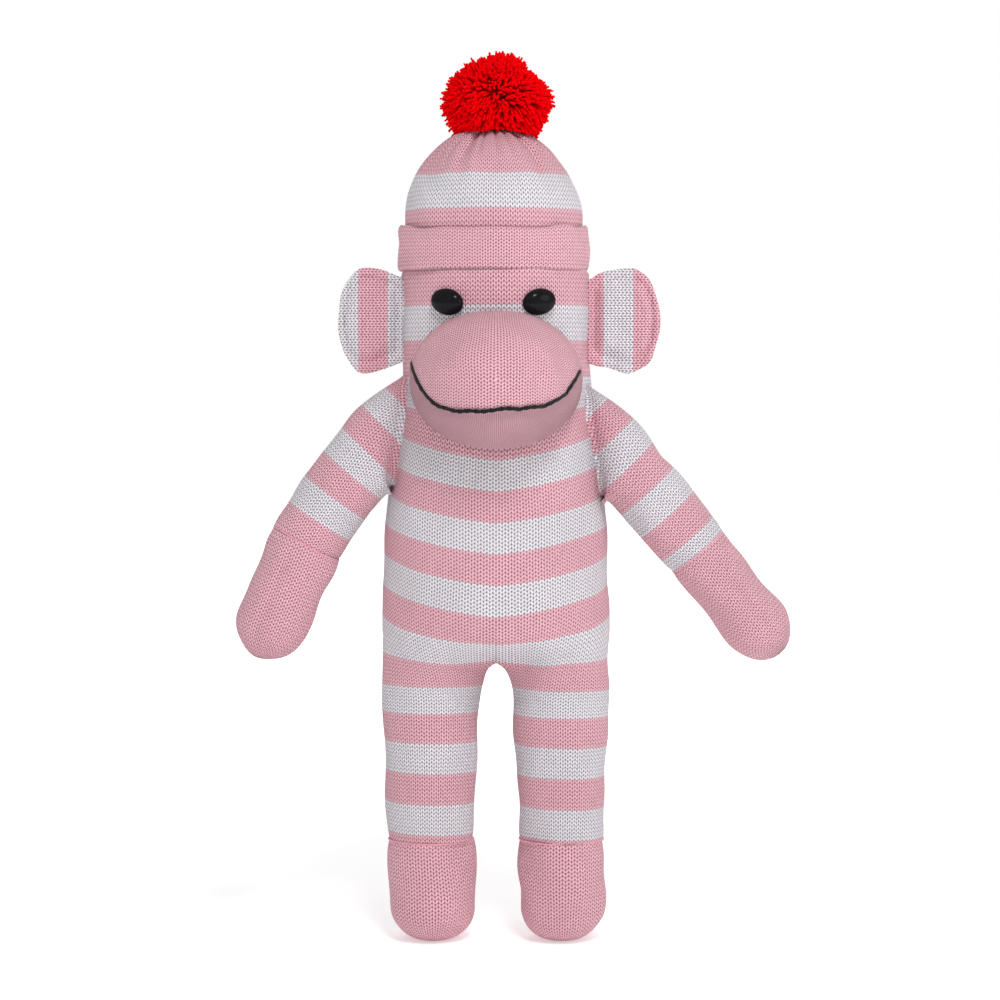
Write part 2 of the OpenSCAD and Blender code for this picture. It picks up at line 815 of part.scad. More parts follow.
// The foot is cut flat where it stands
module foot_skin(side) {
    cut = 0.4;
    color(pink)
        on_ground()
            difference() {
                translate([side * leg_x, 0, -cut])
                    loft(concat(foot_rings(0, 0), reversed(foot_rings(knit_t, knit_t + cut))));
                translate([side * leg_x - foot_w, -foot_d, -10])
                    cube([2 * foot_w, 2 * foot_d, 10]);
            }
}

module ankle_seam_thread(side) {
    half = thread_d / 2;
    color(pink)
        on_ground()
            translate([side * leg_x, 0, ankle_z])
                band([
                    for (c = [[-half, 0], [half, 0], [half, -thread_d], [-half, -thread_d]])
                        oval([0, 0, c[0]], X, Y, ankle_w / 2 + c[1], ankle_d / 2 + c[1], limb_sides)
                ]);
}

module leg_stuffing(side) {
    e = knit_t + slack;
    color(fill_white)
        on_ground()
            translate([side * leg_x, 0, 0])
                loft(concat(foot_rings(e, e + 0.3), leg_rings(ankle_z + ankle_gap, -e)));
}

// ---- the place of the whole toy ----

// The origin is under the middle of the outline: halfway between the two hands, and halfway
// between the muzzle's front and the seat of the trunk
function hand_reach(side) = max([for (r = hand_rings(side, 0)) for (p = r) side * p[0]]);
trunk_x = (hand_reach(RIGHT) - hand_reach(LEFT)) / 2;
trunk_y = (muzzle_out - face_y(0, muzzle_z) - trunk_d / 2) / 2;

module on_ground() {
    translate([trunk_x, trunk_y, 0])
        children();
}

torso_skin();
torso_stuffing();
head_skin();
head_stuffing();
muzzle_skin();
muzzle_stuffing();
mouth_yarn();
hat_cuff();
hat_crown();
crown_gather_thread();
pompom();
pompom_tie();
eye(RIGHT);  // eye_right
eye(LEFT);  // eye_left
eye_washer(RIGHT);  // eye_washer_right
eye_washer(LEFT);  // eye_washer_left
ear(RIGHT);  // ear_right
ear(LEFT);  // ear_left
ear_batting(RIGHT);  // ear_batting_right
ear_batting(LEFT);  // ear_batting_left
shoulder_seam_thread(RIGHT);  // shoulder_seam_thread_right
shoulder_seam_thread(LEFT);  // shoulder_seam_thread_left
sleeve_root(RIGHT);  // sleeve_root_right
sleeve_root(LEFT);  // sleeve_root_left
sleeve(RIGHT);  // sleeve_right
sleeve(LEFT);  // sleeve_left
wrist_seam_thread(RIGHT);  // wrist_seam_thread_right
wrist_seam_thread(LEFT);  // wrist_seam_thread_left
hand(RIGHT);  // hand_right
hand(LEFT);  // hand_left
arm_stuffing(RIGHT);  // arm_stuffing_right
arm_stuffing(LEFT);  // arm_stuffing_left
leg_skin(RIGHT);  // leg_skin_right
leg_skin(LEFT);  // leg_skin_left
ankle_seam_thread(RIGHT);  // ankle_seam_thread_right
ankle_seam_thread(LEFT);  // ankle_seam_thread_left
foot_skin(RIGHT);  // foot_skin_right
foot_skin(LEFT);  // foot_skin_left
leg_stuffing(RIGHT);  // leg_stuffing_right
leg_stuffing(LEFT);  // leg_stuffing_left
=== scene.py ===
"""A striped knitted toy monkey with a pompom hat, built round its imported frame.

Every skin is a surface worked out from two parameters and laid out in stitches: one unit of u is a
wale and one unit of v is a row of the knit, so the stripes and the stitches follow the cloth.
"""

import json
import math

import bpy
import numpy as np
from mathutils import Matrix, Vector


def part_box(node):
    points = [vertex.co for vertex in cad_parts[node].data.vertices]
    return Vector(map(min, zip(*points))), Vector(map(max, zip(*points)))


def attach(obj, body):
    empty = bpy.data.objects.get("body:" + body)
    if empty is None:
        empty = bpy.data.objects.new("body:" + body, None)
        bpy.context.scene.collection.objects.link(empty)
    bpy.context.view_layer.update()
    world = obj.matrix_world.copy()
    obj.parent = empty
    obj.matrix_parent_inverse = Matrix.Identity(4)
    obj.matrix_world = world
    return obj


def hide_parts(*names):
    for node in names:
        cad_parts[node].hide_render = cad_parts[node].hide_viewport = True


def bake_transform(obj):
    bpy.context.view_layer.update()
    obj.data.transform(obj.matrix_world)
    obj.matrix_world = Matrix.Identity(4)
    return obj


bl_info = {
    "name": "Knitted monkey",
    "version": (1, 0, 0),
    "blender": (4, 5, 0),
    "location": "View3D > Sidebar > Monkey",
    "description": "Builds a striped knitted monkey round its packed frame",
    "category": "Object",
}

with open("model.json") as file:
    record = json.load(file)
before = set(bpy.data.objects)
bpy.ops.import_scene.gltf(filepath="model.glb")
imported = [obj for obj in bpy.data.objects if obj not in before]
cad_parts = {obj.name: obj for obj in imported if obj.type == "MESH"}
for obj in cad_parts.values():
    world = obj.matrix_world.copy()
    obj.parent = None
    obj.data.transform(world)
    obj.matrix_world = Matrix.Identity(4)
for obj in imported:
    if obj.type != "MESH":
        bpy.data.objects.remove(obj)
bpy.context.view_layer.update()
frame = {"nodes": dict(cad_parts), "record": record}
JOINTS = {j["name"]: j for j in frame["record"]["behaviour"]["joints"]}
MM = 0.001
SIDES = {"right": -1, "left": 1}


def corners(node):
    """The lowest and highest corner of a CAD node, as arrays."""
    low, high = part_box(node)
    return np.array(low), np.array(high)


def half_size(node):
    low, high = corners(node)
    return (high - low) / 2


def middle(node):
    low, high = corners(node)
    return (high + low) / 2


def pivot(joint):
    return np.array(JOINTS[joint]["pos_m"])


# The trunk's upright axis, and the heights and half sizes that everything else is placed by
AXIS = np.array([*middle("torso_skin")[:2], 0.0])
NECK_Z = pivot("head_nod")[2]
HIP_Z = pivot("leg_sit_left")[2]
BRIM_Z = corners("hat_cuff")[0][2]
CUFF_TOP = corners("hat_cuff")[1][2]
CROWN_TOP = corners("hat_crown")[1][2]
ANKLE_Z = middle("ankle_seam_thread_left")[2]
HEAD_W, HEAD_D = half_size("head_skin")[:2]
TRUNK_W, TRUNK_D = half_size("torso_skin")[:2]
CUFF_W, CUFF_D = half_size("hat_cuff")[:2]
CROWN_W, CROWN_D = half_size("hat_crown")[:2]
LEG_W, LEG_D = half_size("leg_skin_left")[:2]
ANKLE_W, ANKLE_D = half_size("ankle_seam_thread_left")[:2]
FOOT_W, FOOT_D = half_size("foot_skin_left")[:2]
MUZZLE_W, _, MUZZLE_H = half_size("muzzle_skin")
MUZZLE_Z = middle("muzzle_skin")[2]
LEG_X = abs(pivot("leg_sit_left")[0] - AXIS[0])
FORK_Z = HIP_Z + 32 * MM
WAIST_Z = HIP_Z + 67 * MM
WAIST_W = TRUNK_W * 0.969
Y = np.array([0.0, 1.0, 0.0])
Z = np.array([0.0, 0.0, 1.0])

# Wales round the trunk and each limb, and rows in a stripe
TRUNK_WALES, FOOT_WALES, SLEEVE_WALES, HAND_WALES = 116, 46, 45, 44
STRIPE_ROWS = 8.0


# ---- numbers ----


def smooth(t):
    """0 before 0, 1 after 1, and a smooth rise between them."""
    t = np.clip(t, 0, 1)
    return t * t * (3 - 2 * t)


def ease(a, b, t):
    """From a to b along half a cosine wave as t goes from 0 to 1."""
    return a + (b - a) * (1 - np.cos(np.pi * np.clip(t, 0, 1))) / 2


def signed_power(base, power):
    return np.sign(base) * np.abs(base) ** power


def bump_at(x, centre, width):
    """A bell curve of height 1 about centre."""
    return np.exp(-(((x - centre) / width) ** 2))


def stack(*parts):
    """Coordinates, stretched to one shape, as an array of points."""
    return np.stack(np.broadcast_arrays(*parts), -1)


def ring(count, closed=False):
    """Angles once round, as a row. A closed ring ends where it starts."""
    return np.linspace(0, 2 * np.pi, count, endpoint=closed)[None, :]


def evenly(first, last, count):
    """Even steps, as a column."""
    return np.linspace(first, last, count)[:, None]


def closed(grid):
    """A grid with its first column again at its end."""
    return np.concatenate([grid, grid[:, :1]], 1)


def unit(vectors):
    return vectors / np.maximum(np.linalg.norm(vectors, axis=-1, keepdims=True), 1e-12)


def lengths(grid):
    """Distance along the rows of a grid from the first, the mean of its columns."""
    steps = np.linalg.norm(np.diff(grid, axis=0), axis=-1).mean(1)
    return np.concatenate([[0], np.cumsum(steps)])


def lumps(points, size, seed=0):
    """Smooth noise of about -1 to 1: a sum of sine waves in seeded directions, size apart."""
    rng = np.random.default_rng(seed)
    total = np.zeros(points.shape[:-1])
    for _ in range(7):
        way = rng.normal(size=3)
        way *= 2 * np.pi / size * rng.uniform(0.6, 1.5) / np.linalg.norm(way)
        total = total + np.sin(points @ way + rng.uniform(0, 6.3))
    return total / 3.5


def normals_of(grid):
    """Unit normals of a closed grid of points, from the cross product of its two directions."""
    across = np.roll(grid, -1, 1) - np.roll(grid, 1, 1)
    return unit(np.cross(across, np.gradient(grid, axis=0)))


def drawn_in(grid, depth):
    """A grid moved in along its normals."""
    return grid - normals_of(grid) * depth[..., None]


# ---- meshes ----


def quads_of(rows, cols, wide):
    """Row and column of each face of a grid, and the numbers of its corners."""
    r, c = np.meshgrid(np.arange(rows - 1), np.arange(wide), indexing="ij")
    nxt = (c + 1) % cols
    return r, c, np.stack([r * cols + c, r * cols + nxt, (r + 1) * cols + nxt, (r + 1) * cols + c], -1)


def mesh_object(name, points, faces, material):
    """A smooth mesh in the scene."""
    mesh = bpy.data.meshes.new(name)
    mesh.from_pydata(points.tolist(), [], faces)
    mesh.shade_smooth()
    mesh.materials.append(material)
    obj = bpy.data.objects.new(name, mesh)
    bpy.context.scene.collection.objects.link(obj)
    return obj


def surface(name, grid, uv, material, wrap=True, close=(True, True)):
    """A mesh from a grid of points, rows x columns x 3.

    The columns run anticlockwise seen from where the rows go, so the faces point outwards. With
    wrap the last column joins the first, and uv then has one column more. close adds a fan to a
    pole at the first and at the last row, and a flat one has a sharp edge.
    """
    rows, cols = grid.shape[:2]
    wide = cols if wrap else cols - 1
    verts = grid.reshape(-1, 3)
    r, c, quads = quads_of(rows, cols, wide)
    quad_uv = np.stack([uv[r, c], uv[r, c + 1], uv[r + 1, c + 1], uv[r + 1, c]], 2)
    faces = quads.reshape(-1, 4).tolist()
    loops = [quad_uv.reshape(-1, 2)]
    k = np.arange(wide)
    for row, wanted in ((0, close[0]), (rows - 1, close[1])):
        if not wanted:
            continue
        edge = row * cols
        if wanted == "flat":
            edge = len(verts)
            verts = np.vstack([verts, grid[row]])
        pole = len(verts)
        verts = np.vstack([verts, grid[row].mean(0)])
        first, second = (k + 1, k) if row else (k, k + 1)
        faces += stack(pole, edge + second % cols, edge + first % cols).tolist()
        tip = (uv[row, k] + uv[row, k + 1]) / 2
        loops.append(np.stack([tip, uv[row, second], uv[row, first]], 1).reshape(-1, 2))
    obj = mesh_object(name, verts, faces, material)
    layer = obj.data.uv_layers.new(name="Stitches")
    layer.uv.foreach_set("vector", np.vstack(loops).astype(np.float32).ravel())
    return obj


def many_tubes(name, grids, material, **numbers):
    """One mesh from many like tubes, shape tubes x rows x columns x 3, with flat ends.

    Each of numbers is kept on the points, as an attribute of its name.
    """
    count, rows, cols = grids.shape[:3]
    quads = quads_of(rows, cols, cols)[2].reshape(-1, 4)
    offset = (np.arange(count) * rows * cols)[:, None, None]
    faces = (quads[None] + offset).reshape(-1, 4).tolist()
    ends = np.array([list(range(cols))[::-1], list(range((rows - 1) * cols, rows * cols))])
    faces += (ends[None] + offset).reshape(-1, cols).tolist()
    obj = mesh_object(name, grids.reshape(-1, 3), faces, material)
    for key, values in numbers.items():
        data = obj.data.attributes.new(key, "FLOAT", "POINT").data
        data.foreach_set("value", values.astype(np.float32).ravel())
    return obj


def tube_grid(path, radius, sides, twist, depth):
    """Rings round a path, points x sides x 3.

    Each ring is square to the path. Its radius swells in two lobes that twist along the path,
    which makes two-ply yarn.
    """
    tangent = unit(np.gradient(path, axis=0))
    lead = Z if abs(tangent[0][2]) < 0.9 else Y
    across = np.empty_like(path)
    for i, t in enumerate(tangent):
        lead = lead - t * (lead @ t)
        lead = lead / np.linalg.norm(lead)
        across[i] = lead
    up = np.cross(tangent, across)
    a = ring(sides)
    r = radius * (1 + depth * np.cos(2 * a + twist * np.arange(len(path))[:, None]))
    return path[:, None] + r[..., None] * (
        np.cos(a)[..., None] * across[:, None] + np.sin(a)[..., None] * up[:, None]
    )


def tube(name, path, radius, material, twist=0.9, depth=0.15):
    """A closed tube of two-ply yarn along a path, about the trunk's axis."""
    sides = 8
    u = np.linspace(0, 1, sides + 1)
    v = evenly(0, len(path) / 4, len(path))
    return surface(name, tube_grid(path + AXIS, radius, sides, twist, depth), stack(u, v), material)


# ---- shading ----


class Value:
    """A shader socket that sums, products and the like can be written with."""

    def __init__(self, tree, socket):
        self.tree = tree
        self.socket = socket

    def node(self, kind, settings=None, out=0, **inputs):
        """A new node of a kind. settings are set first, then inputs by name or number."""
        node = self.tree.nodes.new(kind)
        for key, value in (settings or {}).items():
            setattr(node, key, value)
        for key, value in inputs.items():
            name = int(key[1:]) if key[0] == "i" and key[1:].isdigit() else key.replace("_", " ")
            socket = node.inputs[name]
            if isinstance(value, Value):
                self.tree.links.new(value.socket, socket)
            else:
                socket.default_value = value
        return Value(self.tree, node.outputs[out] if len(node.outputs) else None)

    def math(self, operation, *values):
        return self.node(
            "ShaderNodeMath", {"operation": operation}, **{f"i{k}": v for k, v in enumerate(values)}
        )

    def __add__(self, other):
        return self.math("ADD", self, other)

    __radd__ = __add__

    def __mul__(self, other):
        return self.math("MULTIPLY", self, other)

    __rmul__ = __mul__

    def __sub__(self, other):
        return self.math("SUBTRACT", self, other)

    def __rsub__(self, other):
        return self.math("SUBTRACT", other, self)

    def __truediv__(self, other):
        return self.math("DIVIDE", self, other)

    def __pow__(self, other):
        return self.math("POWER", self, other)

    def __abs__(self):
        return self.math("ABSOLUTE", self)

    def __mod__(self, other):
        return self.math("FLOORED_MODULO", self, other)

    def floor(self):
        return self.math("FLOOR", self)

    def above(self, limit):
        return self.math("GREATER_THAN", self, limit)

    def colour(self, rgb):
        """A plain colour as a socket of its own."""
        value = self.node("ShaderNodeRGB")
        value.socket.default_value = (*rgb, 1)
        return value

    def step(self, low, high):
        """0 below low, 1 above high, and smooth between them."""
        return self.node(
            "ShaderNodeMapRange",
            {"interpolation_type": "SMOOTHSTEP", "clamp": True},
            Value=self, From_Min=low, From_Max=high,
        )

    def parts(self):
        node = self.node("ShaderNodeSeparateXYZ", i0=self)
        return [Value(self.tree, out) for out in node.socket.node.outputs]

    def mix(self, first, second):
        """first where this is 0 and second where it is 1, as colours."""
        node = self.tree.nodes.new("ShaderNodeMix")
        node.data_type = "RGBA"
        for socket, value in ((node.inputs[0], self), (node.inputs[6], first), (node.inputs[7], second)):
            if isinstance(value, Value):
                self.tree.links.new(value.socket, socket)
            else:
                socket.default_value = (*value, 1) if len(value) == 3 else value
        return Value(self.tree, node.outputs[2])


def once(maker):
    """Makes the material of each name only once."""
    return lambda name, *given, **more: bpy.data.materials.get(name) or maker(name, *given, **more)


def new_material(name, roughness, sheen=0.0, specular=0.5):
    """A material with its Principled shader, and a Value to start expressions from."""
    material = bpy.data.materials.new(name)
    material.use_nodes = True
    tree = material.node_tree
    shader = tree.nodes["Principled BSDF"]
    constants = {"Roughness": roughness, "Sheen Weight": sheen, "Sheen Roughness": 0.5,
                 "Specular IOR Level": specular}
    for socket, value in constants.items():
        shader.inputs[socket].default_value = value
    return material, shader, Value(tree, None)


def plug(shader, name, value):
    value.tree.links.new(value.socket, shader.inputs[name])


def relief(shader, height, depth):
    """Plugs in a bump of a height, depth metres deep, as the normal."""
    plug(shader, "Normal", height.node("ShaderNodeBump", Strength=1.0, Distance=depth, Height=height))


def grain(start, scale, detail, seed):
    """Smooth noise of 0 to 1 on object coordinates."""
    place = start.node("ShaderNodeTexCoord", out=3)
    return start.node(
        "ShaderNodeTexNoise", {"noise_dimensions": "4D"}, Vector=place, W=seed, Scale=scale, Detail=detail
    )


def stitches_of(start, u, v):
    """The place in a stitch: row number, height of the yarn and depth of the gap, each 0 to 1.

    A wale's two legs slant down to its middle, so a row is a line of Vs. Yarn is highest in the
    middle of a leg, and there is a gap where the edge of a row meets the edge of a leg.
    """
    spread = abs((u % 1.0) - 0.5) * 2.0
    row = v + spread * 0.6
    within = row % 1.0
    to_row = start.math("MINIMUM", within, 1.0 - within) * 2.0
    to_wale = start.math("MINIMUM", spread, 1.0 - spread) * 2.0
    yarn = (1.0 - (1.0 - to_row) ** 2.2) * (1.0 - (1.0 - to_wale) ** 2.6 * 0.8)
    return row, yarn, (1.0 - to_row) * (1.0 - to_wale)


@once
def knit_material(name, looks, stripes=False, tint=1.0, fine=(1.0, 1.0)):
    """Stockinette on the stitch map: plain pink, in stripes of eight rows, or with one white band.

    fine is how many times narrower and shorter the stitches are than the map says.
    """
    material, shader, start = new_material(name, 0.95, sheen=looks.fuzz, specular=0.15)
    u, v, _ = start.node("ShaderNodeUVMap", {"uv_map": "Stitches"}).parts()
    u = u * fine[0]
    row, yarn, gap = stitches_of(start, u, v * fine[1])
    leg = u.floor() * 2.0 + (u % 1.0).above(0.5)
    speckle = start.node(
        "ShaderNodeTexWhiteNoise", {"noise_dimensions": "2D"},
        Vector=start.node("ShaderNodeCombineXYZ", X=leg, Y=row.floor()),
    )
    cloudy = grain(start, 45.0, 3.0, 2.0)
    # Painted shade: the yarn is darker where it sinks away from the middle of each stitch, with random tone
    # per stitch and in clouds on top.
    shade = (0.80 + 0.20 * yarn + (speckle - 0.5) * 0.07 + (cloudy - 0.5) * 0.16) * tint
    # deep is the painted shade that fills the gaps between stitches.
    cloth, deep = start.colour(looks.pink), start.colour(looks.pink_gap)
    if stripes:
        band = ((row / STRIPE_ROWS).floor() % 2.0).above(0.5)
        if stripes == "one":
            band = band * (1.0 - row.above(2 * STRIPE_ROWS))
        cloth = band.mix(cloth, tuple(looks.white))
        deep = band.mix(deep, tuple(looks.white_gap))
    lit = start.node("ShaderNodeVectorMath", {"operation": "SCALE"}, i0=cloth, Scale=shade)
    # The gap colour is painted shade, mixed in where the edges of rows and legs meet.
    plug(shader, "Base Color", (gap.step(looks.gap_start, 0.78) * looks.gap_strength).mix(lit, deep))
    relief(shader, yarn + grain(start, 2400.0, 2.0, 1.0) * 0.3, looks.stitch_depth)
    return material


@once
def yarn_material(name, colour, dark, scale, roughness=0.8, sheen=0.3):
    """Spun yarn: fine fibres in two tones."""
    material, shader, start = new_material(name, roughness, sheen=sheen, specular=0.2)
    fibres = grain(start, scale, 3.0, 3.0)
    plug(shader, "Base Color", fibres.step(0.3, 0.75).mix(dark, colour))
    relief(shader, fibres, 0.4 * MM)
    return material


@once
def pompom_material(name, colour, root):
    """Red yarn strands, with painted shade darkening them towards their roots, and a little different from
    one another.
    """
    material, shader, start = new_material(name, 0.95, specular=0.02)
    height = start.node("ShaderNodeAttribute", {"attribute_name": "along"}, out=2)
    own = start.node("ShaderNodeAttribute", {"attribute_name": "own"}, out=2)
    fibres = grain(start, 1500.0, 2.0, 5.0)
    # Painted shade: the strands darken towards their roots, deep in the pompom, with random tone per strand
    # and in the fibres on top.
    tone = height.step(0.35, 1.0) * 0.75 + own * 0.3 + (fibres - 0.5) * 0.4
    plug(shader, "Base Color", tone.step(0.0, 0.95).mix(root, colour))
    relief(shader, fibres, 0.3 * MM)
    return material


@once
def gloss_material(name):
    """Moulded black plastic with a polished face and fine handling marks."""
    material, shader, start = new_material(name, 0.1, specular=0.08)
    marks = grain(start, 700.0, 4.0, 7.0)
    plug(shader, "Base Color", marks.mix((0.004, 0.004, 0.005), (0.012, 0.011, 0.013)))
    plug(shader, "Roughness", 0.05 + marks * 0.06)
    return material


@once
def washer_material(name):
    """Milky moulded plastic with faint flow marks."""
    material, shader, start = new_material(name, 0.45)
    flow = grain(start, 300.0, 3.0, 8.0)
    plug(shader, "Base Color", flow.mix((0.72, 0.72, 0.70), (0.86, 0.86, 0.84)))
    relief(shader, flow, 0.1 * MM)
    return material


@once
def fill_material(name):
    """Loose white polyester fill, in curls and clumps."""
    material, shader, start = new_material(name, 1.0, sheen=0.4, specular=0.1)
    clumps = grain(start, 220.0, 6.0, 4.0)
    plug(shader, "Base Color", clumps.step(0.25, 0.7).mix((0.62, 0.62, 0.60), (0.9, 0.9, 0.88)))
    relief(shader, clumps, 1.5 * MM)
    return material


# ---- what can be changed ----


def colour_prop(name, description, default):
    return bpy.props.FloatVectorProperty(
        name=name, description=description, default=default, size=3, min=0, max=1, subtype="COLOR"
    )


def length_prop(name, description, default, low=0.0, high=10.0):
    return bpy.props.FloatProperty(
        name=name, description=description, default=default, min=low, max=high,
        subtype="DISTANCE", unit="LENGTH",
    )


def share_prop(name, description, default, high=10.0):
    return bpy.props.FloatProperty(name=name, description=description, default=default, min=0, max=high)


class MONKEY_PG_knit(bpy.types.PropertyGroup):
    """The knitted cloth's yarns and stitches"""

    pink: colour_prop("Pink", "Colour of the pink yarn", (0.86, 0.485, 0.56))
    white: colour_prop("White", "Colour of the white yarn", (0.83, 0.805, 0.85))
    # The gap colours, and where and how strongly they show, are painted shade in the holes between stitches.
    pink_gap: colour_prop("Pink gaps", "Colour between pink stitches", (0.30, 0.05, 0.08))
    white_gap: colour_prop("White gaps", "Colour between white stitches", (0.20, 0.13, 0.16))
    gap_start: share_prop("Gap start", "How far out of a stitch its gap starts", 0.16, 1.0)
    gap_strength: share_prop("Gap strength", "How much of the gap colour shows", 1.0, 1.0)
    fuzz: share_prop("Fuzz", "Sheen of the yarn's loose fibres", 0.15, 1.0)
    stitch_depth: length_prop("Stitch depth", "Height of a stitch", 0.0005, 0.0, 0.002)
    row: length_prop("Row", "Height of a row of stitches", 0.001745, 0.001, 0.004)
    sag: length_prop("Sag", "How far the stripes drop from the sides to the front", 0.0135, 0.0, 0.02)


class MONKEY_PG_form(bpy.types.PropertyGroup):
    """How the stuffed forms swell and pinch"""

    lump: length_prop("Lumps", "Height of the stuffing's lumps", 0.0007, 0.0, 0.003)
    seam: length_prop("Seam", "How far a seam pulls the cloth in", 0.0008, 0.0, 0.004)
    inset: length_prop("Stuffing inset", "Gap between the cloth and the stuffing", 0.0024, 0.001, 0.005)
    strands: bpy.props.IntProperty(
        name="Strands", description="Number of yarn strands in the pompom", default=3000, min=200, max=3200
    )


class MONKEY_PG_stage(bpy.types.PropertyGroup):
    """Camera, floor and light"""

    distance: length_prop("Distance", "Distance from the toy's axis to the camera", 1.3, 0.5, 4.0)
    height: length_prop("Height", "Height of the camera", 0.260, 0.0, 1.0)
    pitch: bpy.props.FloatProperty(
        name="Pitch", description="Angle the camera looks down", default=math.radians(2.6), subtype="ANGLE"
    )
    view: bpy.props.FloatProperty(
        name="Field of view", description="Angle the camera takes in", default=math.radians(19.85),
        subtype="ANGLE",
    )
    world: share_prop("World", "Brightness of the light from all round", 0.50)
    key: share_prop("Key", "Power of the main light, in watts", 14.0, 200.0)
    fill: share_prop("Fill", "Power of the second light, in watts", 4.0, 200.0)


# ---- forms shared by several pieces ----


def trunk_rows(z, around, looks):
    """Row number on the trunk and legs, 0 at the neck. around is 1 at the back and -1 at the front.

    The rows sag to the front between the hips and the neck: steeply next to the middle and then
    less, by a power of around. They are level on the legs and the head, and packed over the seat.
    """
    sag = smooth((z - HIP_Z) / (32 * MM)) * (1 - smooth((z - NECK_Z + 37 * MM) / (35 * MM)))
    rise = np.clip(1 + around, 0, 1) ** 0.65 + 0.3 * np.maximum(around, 0) - 0.375
    packed = 4.9 * MM * (1 - smooth((z - HIP_Z + 23 * MM) / (47 * MM)))
    level = z - looks.sag * sag * rise - packed - (HIP_Z + 108 * MM)
    return level / np.where(level < 0, looks.row, looks.row * 1.138)


def trunk_halves(z):
    """Half width and half depth of the trunk and head: half cosine waves between hip, waist and neck."""
    bottom = corners("torso_skin")[0][2]
    up = (z - WAIST_Z) / (NECK_Z - WAIST_Z)
    low = ease(TRUNK_W, WAIST_W, (z - bottom) / (WAIST_Z - bottom))
    wide = np.where(z < WAIST_Z, low, ease(WAIST_W, HEAD_W, up))
    tuck = 2.2 * MM * smooth((z - BRIM_Z + 3 * MM) / (4 * MM))
    return wide - tuck, ease(TRUNK_D, HEAD_D, up) - tuck


def ovals(wide, deep, z, cols):
    """Ovals at heights z, each running anticlockwise from the back."""
    a = ring(cols)
    return stack(-wide * np.sin(a), deep * np.cos(a), z)


def trunk_points(low, high, rows, cols):
    """The trunk and head: ovals stacked from low to high."""
    z = evenly(low, high, rows)
    return ovals(*trunk_halves(z), z, cols)


def face_front(x, z):
    """How far in front of the axis the head is, at x from its middle."""
    wide, deep = trunk_halves(z)
    return deep * np.sqrt(1 - np.minimum(np.abs(x) / wide, 0.98) ** 2)


def swell(grid, amount, size, seed, fade=1.0):
    """Moves a grid in and out along its normals by smooth lumps, less where fade is below 1."""
    soft = grid + normals_of(grid) * (amount * lumps(grid, size, seed))[..., None]
    return grid + (soft - grid) * np.asarray(fade)[..., None]


def finish(obj, slot, nodes, body=None, joint=None, start=None, end=None, fill=None):
    """Hides the nodes a piece stands for, and hangs it from its body, or bakes it in place where it has a
    joint; nothing bends it, and slot and fill are not used.
    """
    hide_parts(*nodes)
    if joint:
        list(joint)
        tuple(start)
        tuple(end)
        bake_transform(obj)
    else:
        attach(obj, body)


def stuff(name, grid, wales, rows, nodes, **rides):
    """Fills a skin: a closed surface of fill, with a map of wales round and rows along."""
    uv = stack(np.linspace(0, wales, grid.shape[1] + 1), evenly(0, rows, grid.shape[0]))
    finish(surface(name, grid + AXIS, uv, fill_material("fill_curls")), "fibrefill", nodes, **rides)


def sew(name, path, radius, node, body):
    """Sews a pink thread of two plies along a path."""
    pink = yarn_material("thread_pink", (0.80, 0.40, 0.47), (0.66, 0.28, 0.35), 1400.0)
    finish(tube(name, path, radius, pink), "pink_thread", [node], body)


def settings(context):
    scene = context.scene
    return scene.monkey_knit, scene.monkey_form, scene.monkey_stage


NECK_BEND = dict(joint=("torso", "head"), start=AXIS + Z * (NECK_Z - 17 * MM),
                 end=AXIS + Z * (NECK_Z + 16 * MM))


def hip_bend(side):
    """A joint from the trunk to a leg, with a point above its hip and one below."""
    hip = AXIS + [SIDES[side] * LEG_X, 0, HIP_Z]
    return dict(joint=("torso", f"leg_{side}"), start=hip + Z * 28 * MM, end=hip - Z * 22 * MM)


# ---- trunk and legs ----


class MONKEY_OT_trunk(bpy.types.Operator):
    """Knits the trunk and head as one striped tube, with the stuffing in it"""

    bl_idname = "monkey.trunk"
    bl_label = "Trunk and head"

    def execute(self, context):
        looks, form, _ = settings(context)
        top = CUFF_TOP - 8 * MM
        cols = 2 * TRUNK_WALES
        grid = trunk_points(FORK_Z, top, 96, cols)
        z = grid[:, :1, 2]
        uv = stack(np.linspace(0, TRUNK_WALES, cols + 1), trunk_rows(z, np.cos(ring(cols + 1, True)), looks))
        fade = smooth((z - FORK_Z) / (12 * MM)) * smooth((top - z) / (20 * MM))
        grid = swell(grid, form.lump, 34 * MM, 11, fade)
        skin = surface("trunk_knit", grid + AXIS, uv, knit_material("knit_striped", looks, True),
                       close=("flat", "flat"))
        finish(skin, "striped_knit", ["torso_skin", "head_skin"], fill=0.8, **NECK_BEND)

        cols = 64
        body = trunk_points(HIP_Z + 24 * MM, NECK_Z, 30, cols)
        head = trunk_points(NECK_Z + 0.5 * MM, BRIM_Z + 2 * MM, 14, cols)
        t = evenly(0.05, 0.97, 16)
        tight = 0.94 * np.sqrt(1 - t**2)
        up = CUFF_TOP + (CROWN_TOP - CUFF_TOP - 2 * MM) * t
        crown = ovals(CROWN_W * tight, CROWN_D * tight, up, cols)
        for node, points in {"torso_stuffing": body, "head_stuffing": np.concatenate([head, crown])}.items():
            points = drawn_in(points, form.inset * (1 + 0.25 * lumps(points, 14 * MM, 21)))
            stuff(f"{node}_fill", points, 40, 30, [node], **NECK_BEND)
        return {"FINISHED"}


def leg_columns(cols):
    """Places round a leg from 0 to 1: evenly spaced, with one more next to each edge of the wall."""
    return np.unique(np.concatenate([np.linspace(0, 1, cols - 2), [0.0015, 0.9985]]))[None, :]


